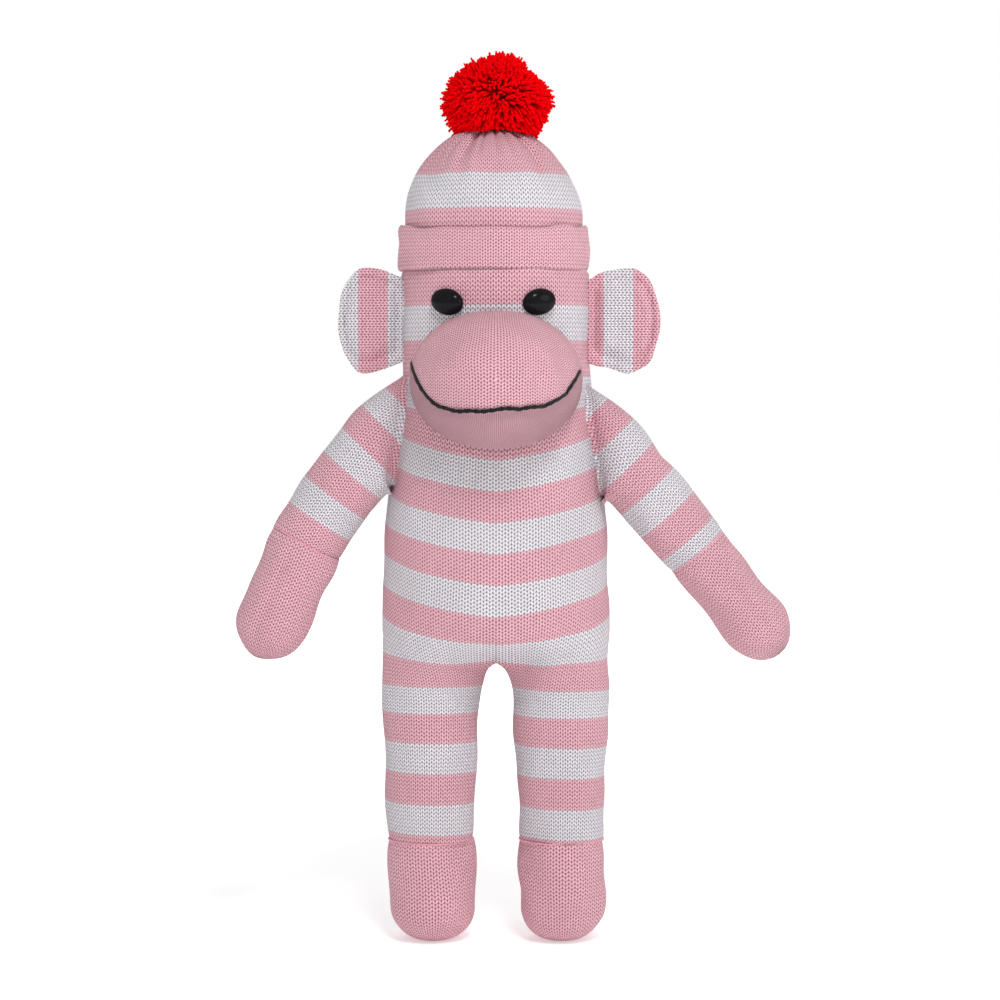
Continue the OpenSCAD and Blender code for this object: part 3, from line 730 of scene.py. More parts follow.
def leg_points(z, cols, wall):
    """The left leg from its ankle up to the fork, about the trunk's axis.

    At the fork its outline is half the trunk's oval closed by a flat wall on the centre line. It
    turns into a round tube lower down. Next to the wall the outline closes up sooner, which makes
    the crotch. Each ring runs anticlockwise from the front of the wall, and the wall comes last.
    """
    a = leg_columns(cols)
    wide, deep = trunk_halves(np.array([[FORK_Z]]))
    down = (HIP_Z - z) / (HIP_Z - ANKLE_Z)
    tube_w, tube_d = ease(LEG_W, ANKLE_W, down), ease(LEG_D, ANKLE_D, down)
    gap = np.radians(7)
    theta = -np.pi + gap + (2 * np.pi - 2 * gap) * a
    round_x, round_y = LEG_X + tube_w * np.cos(theta), tube_d * np.sin(theta)
    half_x, half_y = wide * np.sin(np.pi * a), -deep * np.cos(np.pi * a)
    near = bump_at(np.minimum(a, 1 - a), 0, 0.10)
    far_s = smooth((FORK_Z - z) / (42 * MM))
    near_y = smooth((FORK_Z - 9 * MM - z) / (16 * MM))
    near_x = np.sqrt(1 - (1 - np.clip((FORK_Z - 24 * MM - z) / (15 * MM), 0, 1)) ** 2)
    sx = far_s * (1 - near) + near_x * near
    sy = far_s * (1 - near) + near_y * near
    arc = stack(half_x * (1 - sx) + round_x * sx, half_y * (1 - sy) + round_y * sy, z)
    t = (np.arange(1, wall + 1) / (wall + 1))[None, :, None]
    points = np.concatenate([arc, arc[:, -1:] * (1 - t) + arc[:, :1] * t], 1)
    points[..., 0] = np.maximum(points[..., 0], 0.02 * MM)
    return points


class MONKEY_OT_legs(bpy.types.Operator):
    """Knits the two legs, each from the trunk's fork down to its ankle"""

    bl_idname = "monkey.legs"
    bl_label = "Legs"

    def execute(self, context):
        looks, form, _ = settings(context)
        cols, wall = 119, 8
        a = leg_columns(cols)
        half = TRUNK_WALES / 2
        t = np.arange(1, wall + 2)[None, :]
        z = evenly(ANKLE_Z + 0.1 * MM, FORK_Z, 90)
        for side, sign in SIDES.items():
            v = trunk_rows(z, np.cos(np.pi * a) * -sign, looks)
            v = v + (sign + (a - 0.5) * 1.4) * smooth((FORK_Z - z) / (30 * MM))
            v = np.concatenate([v, v[:, -1:] + (v[:, :1] - v[:, -1:]) * t / (wall + 1)], 1)
            u = half * a + max(sign, 0) * half
            uv = stack(np.concatenate([u, u[:, -1:] + t * 0.6], 1), v)
            mirror = [sign, sign, 1]
            grid = leg_points(z, cols, wall) * mirror
            edge = np.concatenate([bump_at(np.minimum(a, 1 - a), 0, 0.09), np.ones((1, wall))], 1)
            fade = smooth((FORK_Z - z) / (12 * MM)) * (1 - edge * smooth((z - HIP_Z) / (10 * MM)))
            grid = swell(grid, form.lump * 1.2, 30 * MM, 31 + sign, fade)
            grid = drawn_in(grid, form.seam * 0.5 * bump_at(z, ANKLE_Z, 2.6 * MM))
            skin = surface(f"leg_{side}", grid + AXIS, uv, knit_material("knit_striped", looks, True),
                           close=("flat", "flat"))
            finish(skin, "striped_knit", [f"leg_skin_{side}"], fill=0.8, **hip_bend(side))

            foot = 8 * MM
            core = leg_points(evenly(foot, FORK_Z - 16 * MM, 40), 48, 4) * mirror
            centre = np.array([sign * LEG_X, 0, 0])
            shrink = 1 - form.inset * 1.5 / LEG_W
            across = (core - centre) * [shrink, shrink, 1] + centre
            toe = smooth(1 - (core[..., 2:] - foot) / (16 * MM))
            core = across + (centre - across) * [0.35, 0.35, 0] * toe
            stuff(f"leg_stuffing_{side}_fill", core, 24, 40, [f"leg_stuffing_{side}"], **hip_bend(side))
        return {"FINISHED"}


class MONKEY_OT_feet(bpy.types.Operator):
    """Knits the two feet, flat where they stand, with a stitched seam at the ankle"""

    bl_idname = "monkey.feet"
    bl_label = "Feet"

    def execute(self, context):
        looks, form, _ = settings(context)
        # t runs over the flat sole, round its edge from flat_end to half way, and up the side
        sole, flat_end, cols = 15 * MM, 0.22, 96
        t = evenly(0, 1, 60)
        turn = np.pi / 2 * np.clip((t - flat_end) / (0.5 - flat_end), 0, 1)
        side_z = sole + (ANKLE_Z - 0.1 * MM - sole) * (t - 0.5) * 2
        z = np.where(t < 0.5, sole * (1 - np.cos(turn)), side_z)
        flat = (1 - sole / FOOT_W) * (0.02 + 0.98 * t / flat_end)
        reach = np.where(t < flat_end, flat, 1 - sole / FOOT_W * (1 - np.sin(turn)))
        up = (z - sole) / (ANKLE_Z - sole)
        wide, deep = ease(FOOT_W * 0.965, ANKLE_W, up), ease(FOOT_D, ANKLE_D, up)
        full = 0.5 * MM * np.sin(np.pi * np.clip(up, 0, 1))
        a = ring(cols)
        for side, sign in SIDES.items():
            inward = 1.2 * MM * smooth(1 - up) * (sign < 0)
            grid = stack(sign * LEG_X + inward + (wide + full) * reach * np.cos(a),
                         (deep + full) * reach * np.sin(a), z)
            grid = swell(grid, form.lump * 1.4, 26 * MM, 41 + sign, smooth(z / (10 * MM)))
            grid = drawn_in(grid, form.seam * 0.5 * bump_at(z, ANKLE_Z, 2.6 * MM))
            grid[..., 2] = np.maximum(grid[..., 2], 0)
            uv = stack(np.linspace(0, FOOT_WALES, cols + 1), lengths(grid[:, :1])[:, None] / looks.row)
            obj = surface(f"foot_{side}", grid + AXIS, uv, knit_material("knit_pink", looks),
                          close=(True, "flat"))
            finish(obj, "pink_knit", [f"foot_skin_{side}"], f"leg_{side}", fill=0.8)
            b = np.linspace(0, 2 * np.pi, 120)
            out = 0.08 * MM * np.sin(b * 30) - form.seam * 0.45
            path = stack(sign * LEG_X + (ANKLE_W + out) * np.cos(b), (ANKLE_D + out) * np.sin(b),
                         ANKLE_Z + 0.1 * MM * np.cos(b * 15))
            sew(f"ankle_thread_{side}", path, 0.45 * MM, f"ankle_seam_thread_{side}", f"leg_{side}")
        return {"FINISHED"}


# ---- arms ----

# Each arm's size: angles from hanging straight down at the seam, wrist and hand, lengths of
# sleeve and hand, half width and half depth, and its stripes: height of a row as a share of the
# trunk's, and the row at the wrist. shoulder is how far the round of the shoulder stands up
ARMS = {
    "right": dict(root=48.0, wrist=29.5, hand=23.2, sleeve=65.3 * MM, mitt=57 * MM, w=16.8 * MM,
                  d=14 * MM, row=0.908, first=0.2, shoulder=0.0),
    "left": dict(root=44.5, wrist=40.5, hand=38.3, sleeve=67.6 * MM, mitt=60 * MM, w=14.8 * MM,
                 d=16.5 * MM, row=1.0, first=11.3, shoulder=4 * MM),
}
SEAM_HALF = 25 * MM


def seam_ends(side):
    """The lowest point of an arm's seam and the way up along it."""
    axis = unit(np.array(JOINTS[f"arm_swing_{side}"]["axis"], float))
    return pivot(f"arm_swing_{side}") - AXIS, axis * np.sign(axis[2])


def arm_way(side, degrees):
    """The way an arm goes at an angle from hanging straight down."""
    turn = np.radians(degrees)
    return stack(SIDES[side] * np.sin(turn), 0 * turn, -np.cos(turn))


def arm_frame(side, s):
    """Middle line of an arm at distances s from its seam, and its heading in degrees.

    The sleeve's heading turns evenly from the seam to the wrist, so it is an arc, and the hand
    goes on straight.
    """
    arm = ARMS[side]
    low, up = seam_ends(side)
    start = low + up * SEAM_HALF
    turn = (arm["wrist"] - arm["root"]) / arm["sleeve"]
    along = np.minimum(s, arm["sleeve"])
    chord = along * np.sinc(np.radians(turn * along / 2) / np.pi)
    point = start + chord[:, None] * arm_way(side, arm["root"] + turn * along / 2)
    point = np.where(s[:, None] < 0, start + s[:, None] * np.array([SIDES[side], 0.0, 0.0]), point)
    point = point + np.maximum(0, s - arm["sleeve"])[:, None] * arm_way(side, arm["hand"])
    bend = smooth((s - arm["sleeve"] + 3 * MM) / (6 * MM))
    heading = (arm["root"] + turn * along) * (1 - bend) + arm["hand"] * bend
    return point, heading


def arm_rings(side, wide, deep, heading, point, cols):
    """Ovals across an arm, each square to its heading and anticlockwise seen from the hand."""
    lift = np.cross(arm_way(side, heading), Y)
    a = ring(cols)[..., None]
    return point[:, None] + np.sin(a) * (wide[:, None] * lift)[:, None] + np.cos(a) * deep[:, None, None] * Y


def sleeve_points(side, rows, cols, lessen=0.0):
    """A sleeve from its flat upright seam to the wrist, with the distance of each ring.

    At the seam a ring is the seam's line, with almost no depth. By the round of the shoulder it
    is an oval square to the arm. Stuffing is smaller by lessen and starts further down.
    """
    arm = ARMS[side]
    s = np.linspace(lessen * 2.8 - 4 * MM, arm["sleeve"] - 0.1 * MM, rows)
    point, heading = arm_frame(side, s)
    _, up = seam_ends(side)
    level = 90 - np.degrees(np.arctan2(SIDES[side] * up[0], up[2]))
    wide = SEAM_HALF + (arm["w"] - SEAM_HALF) * smooth(s / (27 * MM))
    thin = 1.3 * MM
    deep = thin + (arm["d"] - thin) * np.sin(np.pi / 2 * np.clip(s / (25 * MM), 0, 1)) ** 0.8
    turn = level + (heading - level) * smooth(s / (26 * MM))
    grid = arm_rings(side, wide - lessen, deep - min(lessen, 1.1 * MM), turn, point, cols)
    up_side = np.maximum(grid[..., 2] - point[:, None, 2], 0) / wide[:, None]
    stand = (arm["shoulder"] * bump_at(s, 33 * MM, 17 * MM))[:, None] * up_side**1.5
    return s, drawn_in(grid, -stand)


def mitt_points(side, rows, cols, lessen=0.0):
    """A hand: a tube from the wrist, closed by half an ellipsoid a little sharper than round."""
    arm = ARMS[side]
    tip, straight = arm["w"] * 1.25, 0.6
    start, end = arm["sleeve"] + 0.1 * MM, arm["sleeve"] + arm["mitt"] - lessen
    t = np.linspace(0, 1, rows)
    q = np.sin(0.97 * np.pi / 2 * np.clip(t - straight, 0, 1) / (1 - straight))
    s = np.where(t < straight, start + (end - tip - start) * t / straight, end - tip + tip * q)
    point, heading = arm_frame(side, s)
    k = (1 - q**2.1) ** 0.5
    full = 1.01 - 0.05 * np.clip((s - start) / (end - start), 0, 1)
    wide, deep = ((arm[half] * full - lessen) * k for half in "wd")
    return s, arm_rings(side, wide, deep, heading, point, cols)


def make_arm(side, looks, form):
    """One sleeve with its hand, stuffing and two sewn seams."""
    arm, sign, cols = ARMS[side], SIDES[side], 90
    wrist = arm["sleeve"]
    ends = [arm_frame(side, np.array([s * MM]))[0][0] + AXIS for s in (13, 43)]
    bend = dict(joint=(f"shoulder_{side}", f"arm_{side}"), start=ends[0], end=ends[1])

    s, grid = sleeve_points(side, 84, cols)
    point, heading = arm_frame(side, s)
    place = s[:, None] + np.einsum("rcx,rx->rc", grid - point[:, None], arm_way(side, heading))
    v = closed((wrist - place) / (looks.row * arm["row"]) + arm["first"])
    grid = swell(grid, form.lump * 0.9, 26 * MM, 51 + sign, smooth((s - 4 * MM) / (18 * MM))[:, None])
    grid = drawn_in(grid, form.seam * 0.5 * bump_at(s, wrist, 2.4 * MM)[:, None])
    skin = surface(f"sleeve_knit_{side}", grid + AXIS, stack(np.linspace(0, SLEEVE_WALES, cols + 1), v),
                   knit_material("knit_striped", looks, True), close=("flat", "flat"))
    finish(skin, "striped_knit", [f"sleeve_root_{side}", f"sleeve_{side}"], fill=0.8, **bend)

    s, grid = mitt_points(side, 76, cols)
    s = s[:, None]
    grid = swell(grid, form.lump * 1.1, 26 * MM, 61 + sign, smooth((s - wrist) / (8 * MM)))
    within = smooth((s - wrist) / (10 * MM)) * smooth((s[-1] - 2 * MM - s) / (10 * MM))
    grid = drawn_in(grid, 0.9 * MM * bump_at(ring(cols), np.pi - 0.3 * sign, 0.13) * within)
    grid = drawn_in(grid, form.seam * 0.5 * bump_at(s, wrist, 2.6 * MM))
    uv = stack(np.linspace(0, HAND_WALES, cols + 1), (s - wrist) / looks.row)
    mitt = surface(f"hand_knit_{side}", grid + AXIS, uv, knit_material("knit_pink", looks),
                   close=("flat", True))
    finish(mitt, "pink_knit", [f"hand_{side}"], f"arm_{side}", fill=0.8)

    lessen = form.inset * 1.7
    core = np.concatenate([sleeve_points(side, 20, 40, lessen)[1], mitt_points(side, 24, 40, lessen)[1][:-2]])
    core = swell(core, 0.4 * MM, 14 * MM, 71 + sign)
    stuff(f"arm_stuffing_{side}_fill", core, 24, 50, [f"arm_stuffing_{side}"], **bend)

    a = evenly(0, 2 * np.pi, 110)
    out = 0.08 * MM * np.sin(a * 26) - form.seam * 0.52
    lift = np.cross(arm_way(side, arm["wrist"]), Y)
    path = arm_frame(side, np.array([wrist]))[0] + np.sin(a) * (arm["w"] + out) * lift
    path = path + np.cos(a) * (arm["d"] + out) * Y
    sew(f"wrist_thread_{side}", path, 0.36 * MM, f"wrist_seam_thread_{side}", f"arm_{side}")

    low, up = seam_ends(side)
    t = evenly(0, 1, 130)
    path = low + up * 2 * SEAM_HALF * t - [sign * 0.5 * MM, 0, 0] + 0.7 * MM * np.sin(t * 90) * Y
    sew(f"shoulder_thread_{side}", path, 0.26 * MM, f"shoulder_seam_thread_{side}", "torso")


class MONKEY_OT_arms(bpy.types.Operator):
    """Knits the sleeves and the hands, sews them together and stuffs them"""

    bl_idname = "monkey.arms"
    bl_label = "Arms and hands"

    def execute(self, context):
        looks, form, _ = settings(context)
        for side in SIDES:
            make_arm(side, looks, form)
        return {"FINISHED"}


# ---- ears ----

# Each ear's reach, the rows along it and the row at its root
EARS = {"right": (24.6 * MM, 14.85, 14.2), "left": (27.6 * MM, 16.1, 6.6)}
EAR_WALE = 2.35 * MM


def make_ear(side, looks, form):
    """One ear: a flat shell with a D-shaped outline, thick in the middle, with a sewn rim.

    k grows from the middle of the back to the rim and shrinks again to the middle of the front.
    """
    sign = SIDES[side]
    reach, count, first = EARS[side]
    root = pivot(f"ear_fold_{side}") - AXIS
    tall = half_size(f"ear_{side}")[2]
    out = reach / 2
    centre = root + [sign * (reach - out), 0, 0]
    rows = 72
    k = np.sin(evenly(0.02, np.pi - 0.02, rows))
    front = np.sign(evenly(-1, 1, rows))
    a = ring(120)
    near = np.minimum(np.abs(np.sin(a)) / 0.8, 1)
    neck = tall * (1 - 0.22 * near**1.6) * np.minimum(np.abs(np.cos(a)) / 0.6, 1) * np.sign(np.cos(a))
    inner = abs(centre[0]) - HEAD_W + 1.6 * MM
    away = np.sin(a) * sign > 0
    x = np.where(away, out * signed_power(np.sin(a), 0.95), -sign * inner * near) * k
    z = np.where(away, tall * signed_power(np.cos(a), 0.95), neck) * k
    puff = 1 - smooth((k - 0.55) / 0.22)
    rim = np.sqrt(np.clip(1 - k**10, 0, 1))
    thick = (1.2 * MM + 2.3 * MM * puff - 1.2 * MM * bump_at(k, 0.80, 0.045)) * rim
    cup = 2.2 * MM * (x / reach) ** 2 + 1.6 * MM * (z / tall) ** 2
    ripple = 0.5 * MM * np.sin(a * 9 + sign) * k**6
    grid = stack(x, front * thick - cup + ripple * 0.5, z + ripple * 0.4)
    grid = swell(grid, form.lump * 0.8, 16 * MM, 81 + sign) + centre
    t = closed(grid[..., 0] - root[0]) * sign / reach
    uv = stack(closed(grid[..., 2]) / EAR_WALE, count * t + first)
    obj = surface(f"ear_knit_{side}", grid + AXIS, uv, knit_material("knit_striped", looks, True))
    bend = dict(joint=("head", f"ear_{side}"), start=root + [-sign * 3.2 * MM, 0, 0] + AXIS,
                end=root + [sign * 4.5 * MM, 0, 0] + AXIS)
    finish(obj, "striped_knit", [f"ear_{side}"], fill=0.35, **bend)
    core = (grid - centre) * [0.62, 0.52, 0.66] + centre + [sign * MM, -0.4 * MM, 0]
    stuff(f"ear_batting_{side}_fill", core[::3, ::3], 20, 20, [f"ear_batting_{side}"], **bend)


class MONKEY_OT_ears(bpy.types.Operator):
    """Knits the two flat round ears, with a sewn edge and a soft middle"""

    bl_idname = "monkey.ears"
    bl_label = "Ears"

    def execute(self, context):
        looks, form, _ = settings(context)
        for side in SIDES:
            make_ear(side, looks, form)
        return {"FINISHED"}


# ---- muzzle, mouth and eyes ----

MUZZLE_OUT = 36 * MM
MOUTH_END = 0.985
DOME_POWER = 2.1
MUZZLE_WALE = 2.46 * MM


def muzzle_place(k, a, less=0.0):
    """x and z on the muzzle: a power oval, k from its middle to its edge."""
    x = (MUZZLE_W - less) * k * signed_power(np.cos(a), 2 / DOME_POWER)
    return x, MUZZLE_Z + (MUZZLE_H - less) * k * signed_power(np.sin(a), 2 / DOME_POWER)


def muzzle_front(x, z, grow=0.0):
    """How far in front of the axis the muzzle is: the head's face and a power dome on it."""
    k = np.abs(x / MUZZLE_W) ** DOME_POWER + np.abs((z - MUZZLE_Z) / MUZZLE_H) ** DOME_POWER
    lean = np.maximum(0, NECK_Z - z) * np.tan(np.radians(6))
    dome = np.sqrt(np.clip(1 - k ** (2.4 / DOME_POWER), 0, 1))
    return face_front(x, z) + 0.4 * MM + lean + (MUZZLE_OUT + grow) * dome


def mouth_height(x):
    """Height of the smile: a fifth power of x, nearly level in the middle and up at both ends."""
    rise = np.where(x < 0, 22.6 * MM, 18.2 * MM)
    return MUZZLE_Z - 13 * MM + rise * np.abs(x / (MUZZLE_W * MOUTH_END)) ** 5 + 0.03 * x


def lip(x, z):
    """How far the cloth is drawn in along the mouth, and below it."""
    below = mouth_height(x) - z
    side = smooth((MUZZLE_W - np.abs(x)) / (9 * MM))
    groove = 1.5 * MM * bump_at(below, 0.0, 1.7 * MM)
    chin = 1.9 * MM * smooth((below + 0.5 * MM) / (3 * MM)) * (1 - smooth((below - 9 * MM) / (9 * MM)))
    return (groove + chin) * side


class MONKEY_OT_muzzle(bpy.types.Operator):
    """Knits the muzzle, draws it in along the mouth, and sews the smile in black yarn"""

    bl_idname = "monkey.muzzle"
    bl_label = "Muzzle and mouth"

    def execute(self, context):
        looks, form, _ = settings(context)
        cols = 180
        k = np.sin(evenly(np.pi / 2, 0.008, 110))
        x, z = muzzle_place(k, ring(cols))
        grid = stack(x, -muzzle_front(x, z), z)
        free = smooth((1 - k) / 0.12) * (1 - 0.85 * bump_at(z, mouth_height(x), 6 * MM))
        grid = swell(grid, form.lump * 1.5, 24 * MM, 91, free)
        grid[..., 1] += lip(x, z) * smooth((1 - k) / 0.05)
        arc = lengths(grid)
        arc = (arc[-1] - arc)[:, None]
        a = ring(cols + 1, True)
        uv = stack(arc * np.cos(a) / MUZZLE_WALE + 40.25, arc * np.sin(a) / looks.row + 60.2)
        skin = surface("muzzle_knit", grid + AXIS, uv, knit_material("knit_pink", looks),
                       close=(False, True))
        skin.data.materials.append(knit_material("knit_chin", looks, fine=(1.5, 2.6)))
        under = (mouth_height(x) - z)[:-1] > 0.3 * MM
        index = np.zeros(len(skin.data.polygons), np.int32)
        index[: under.size] = under.ravel()
        skin.data.polygons.foreach_set("material_index", index)
        finish(skin, "pink_knit", ["muzzle_skin"], "head", fill=0.9)

        x, z = muzzle_place(evenly(0.96, 0.05, 24), ring(cols)[:, ::3], 3 * MM)
        core = stack(x, 0.6 * MM - np.maximum(muzzle_front(x, z, -5 * MM), 0) + lip(x, z), z)
        core = np.concatenate([core[:1] * [0.6, 1, 0.6] + [0, 0, 0.4 * MUZZLE_Z], core])
        stuff("muzzle_stuffing_fill", core, 30, 30, ["muzzle_stuffing"], body="head")

        # Where each back stitch ends, as shares of the mouth's half width
        edges = np.array([-0.985, -0.80, -0.565, -0.30, -0.02, 0.27, 0.55, 0.80, 0.965])
        stitches = []
        for first, second in zip(edges[:-1], edges[1:]):
            t = np.linspace(-0.03, 1.03, 26)
            arch = np.sin(np.pi * np.clip(t, 0, 1))
            x = (first + (second - first) * t) * MUZZLE_W * MOUTH_END
            z = mouth_height(x) + 0.5 * MM * arch * np.sign(first + 0.2)
            y = lip(x, z) - muzzle_front(x, z) - 1.3 * MM * arch**0.4 - 0.3 * MM
            stitches.append(tube_grid(stack(x, y, z) + AXIS, 0.78 * MM, 12, 0.85, 0.18))
        black = yarn_material("yarn_black", (0.012, 0.012, 0.013), (0.002, 0.002, 0.002), 1300.0, sheen=0.1)
        finish(many_tubes("mouth_stitches", np.array(stitches), black), "black_yarn", ["mouth_yarn"], "head")
        return {"FINISHED"}


class MONKEY_OT_eyes(bpy.types.Operator):
    """Moulds the two glossy oval eyes with their stems, and finishes their washers"""

    bl_idname = "monkey.eyes"
    bl_label = "Eyes"

    def execute(self, context):
        # Height over the face, half width and half height of the stem and of the dome, in mm
        t = np.linspace(0, np.pi / 2 * 0.985, 26)
        stem = [(-11.8, 1.95, 1.95), (-0.2, 1.95, 1.95), (0.15, 7.3, 5.3), (0.45, 7.85, 5.85)]
        dome = stack(0.9 + 4.1 * np.sin(t) ** 0.92, 7.9 * np.cos(t) ** 0.9, 5.9 * np.cos(t) ** 0.9)
        height, wide, tall = (np.concatenate([stem, dome]) * MM).T[..., None, None]
        a = ring(64)[..., None]
        for side, sign in SIDES.items():
            x = 19.9 * MM * sign - 1.2 * MM
            y = -HEAD_D * np.sqrt(1 - (x / HEAD_W) ** 2)
            lean = np.arctan2(x / HEAD_W**2, -y / HEAD_D**2)
            out = np.array([np.sin(lean), -np.cos(lean), 0])
            tilt = np.radians(12) * sign
            across = np.array([np.cos(lean), np.sin(lean), 0]) * np.cos(tilt) + Z * np.sin(tilt)
            grid = np.array([x, y, middle(f"eye_{side}")[2]]) + height * out
            grid = grid + wide * np.cos(a) * across + tall * np.sin(a) * np.cross(out, across)
            uv = stack(np.linspace(0, 10, 65), evenly(0, 10, len(grid)))
            eye = surface(f"eye_dome_{side}", grid + AXIS, uv, gloss_material("eye_gloss"))
            finish(eye, "black_eye_plastic", [f"eye_{side}"], "head")
            for slot in frame["nodes"][f"eye_washer_{side}"].material_slots:
                slot.material = washer_material("plastic_washer")
        return {"FINISHED"}


# ---- hat ----

# The hat sits a little to the toy's right
HAT_AXIS = AXIS + [-1.2 * MM, 0, 0]
# The cuff's outline from inside its lower edge round to inside its top: share of its height, and
# how far in from its widest, in mm
CUFF_OUTLINE = np.array([
    (0.30, 3.0), (0.05, 2.9), (-0.005, 2.2), (-0.02, 1.2), (0.0, 0.45), (0.04, 0.1), (0.14, 0.0),
    (0.30, -0.1), (0.50, -0.25), (0.68, -0.2), (0.82, -0.05), (0.91, 0.15), (0.97, 0.6),
    (1.0, 1.2), (0.985, 1.9), (0.94, 2.5), (0.80, 3.0),
])


class MONKEY_OT_hat(bpy.types.Operator):
    """Knits the folded cuff and the striped crown that is gathered at its top"""

    bl_idname = "monkey.hat"
    bl_label = "Hat"

    def execute(self, context):
        looks, form, _ = settings(context)
        cols = 2 * TRUNK_WALES
        a = ring(cols)
        u = np.linspace(0, TRUNK_WALES, cols + 1)
        last = len(CUFF_OUTLINE) - 1
        t = evenly(0, last, 70)
        up, into = (np.interp(t, np.arange(last + 1), column) for column in CUFF_OUTLINE.T)
        into = into * MM
        front = bump_at(np.arctan2(np.sin(a - np.pi), np.cos(a - np.pi)), 0, 0.85)
        z = BRIM_Z - 0.6 * MM + (CUFF_TOP - BRIM_Z) * up - 3.0 * MM * front * np.clip(up, 0, 1)
        grid = swell(ovals(CUFF_W - 0.8 * MM - into, CUFF_D - into, z, cols), form.lump * 0.9, 22 * MM, 101)
        cuff = surface("cuff_knit", grid + HAT_AXIS, stack(u, lengths(grid[:, :1])[:, None] / looks.row),
                       knit_material("knit_cuff", looks, tint=1.04), close=(False, False))
        finish(cuff, "pink_knit", ["hat_cuff"], "head")

        t = evenly(0, np.pi / 2 * 0.985, 70)
        rise, k = np.sin(t), np.cos(t) ** 0.97
        grid = ovals(CROWN_W * k, CROWN_D * k, CUFF_TOP + (CROWN_TOP - CUFF_TOP) * rise, cols)
        base = grid[:1] * [1, 1, 0] + Z * (CUFF_TOP - 6 * MM)
        pleats = np.abs(np.sin(a * 14 + 1.1 * np.sin(3 * a + 0.6)))
        pleats = 1.5 * MM * (1 - pleats) ** 1.4 * smooth((rise - 0.40) / 0.45)
        across = np.sin(a) * -CROWN_W * 0.7
        deep = bump_at(across, -12 * MM, 2.4 * MM) + bump_at(across, 17 * MM, 2.4 * MM)
        deep = 1.9 * MM * deep * (np.cos(a) < 0) * smooth((rise - 0.33) / 0.3)
        soft = swell(grid, form.lump * 1.3, 24 * MM, 111)
        grid = np.concatenate([base, soft - normals_of(grid) * (pleats + deep)[..., None]])
        length = lengths(grid)
        start, end = np.interp(BRIM_Z + np.array([26.4, 42.4]) * MM, grid[:, 0, 2], length)
        v = STRIPE_ROWS * (1 + (length - start) / (end - start))
        crown = surface("crown_knit", grid + HAT_AXIS, stack(u, v[:, None]),
                        knit_material("knit_crown", looks, "one"), close=(False, True))
        finish(crown, "striped_knit", ["hat_crown"], "head", fill=0.8)

        b = np.linspace(0, 2 * np.pi, 90)
        r = 5 * MM + 0.8 * MM * np.sin(b * 9)
        path = stack(r * np.cos(b), r * np.sin(b), CROWN_TOP + 0.3 * MM)
        sew("gather_thread", path, 0.45 * MM, "crown_gather_thread", "head")
        return {"FINISHED"}


STRAND_STEPS = 8


def strand_paths(rng, count, centre, half, top):
    """Middle lines of the pompom's strands, strands x steps x 3, a way to each one's side, and steps.

    The ways out are a spiral on a ball, roughened. Each strand bends by the square of its length,
    combed with its neighbours and drooping, and stays above the crown.
    """
    k = np.arange(count) + 0.5
    polar = np.arccos(1 - 2 * k / count)
    azimuth = np.pi * (1 + 5**0.5) * k
    way = stack(np.sin(polar) * np.cos(azimuth), np.sin(polar) * np.sin(azimuth), np.cos(polar))
    way = way + rng.normal(scale=0.06, size=way.shape)
    way[:, 2] = np.maximum(way[:, 2], -0.78)
    way = unit(way)
    clump = 0.93 + 0.055 * lumps(way, 1.1, 17)
    cleft = 0.09 * bump_at(way[:, 0] - 0.08 - 0.25 * way[:, 2], 0, 0.06) * (way[:, 1] < 0)
    reach = clump - cleft + rng.normal(scale=0.012, size=count)
    stray = rng.random(count) < 0.03
    reach = np.minimum(reach + 0.07 * stray, 1.04)
    steps = np.linspace(0.36, 1, STRAND_STEPS)[None, :, None]
    comb = stack(*(lumps(way, 1.2, seed) for seed in (23, 29, 31)))
    bend = rng.normal(scale=0.10, size=(count, 3)) + 0.30 * comb
    bend[:, 2] -= 0.14 + 0.50 * smooth((0.55 - way[:, 2]) / 1.1)
    curl = np.sin(steps * 5 + rng.uniform(0, 6.3, (count, 1, 1))) * 0.035
    side = unit(np.cross(way, rng.normal(size=way.shape)))[:, None]
    path = way[:, None] * steps * reach[:, None, None] + bend[:, None] * (steps - 0.42) ** 2 * 0.9
    path = path + side * curl
    path[..., :2] *= 0.97 - 0.24 * smooth((path[..., 2:] - 0.25) / 0.75)
    path = centre + [0.6 * MM, 0, -1.2 * MM] + path * half
    radius = np.hypot(path[..., 0], path[..., 1])
    share = np.clip(1 - (radius / (CROWN_W + 0.5 * MM)) ** 2, 0, 1)
    roof = CUFF_TOP + (CROWN_TOP - CUFF_TOP) * np.sqrt(share) + 0.2 * MM + radius * 0.04
    path[..., 2] = np.minimum(np.maximum(path[..., 2], roof), top + 0.5 * MM)
    return path, side, steps


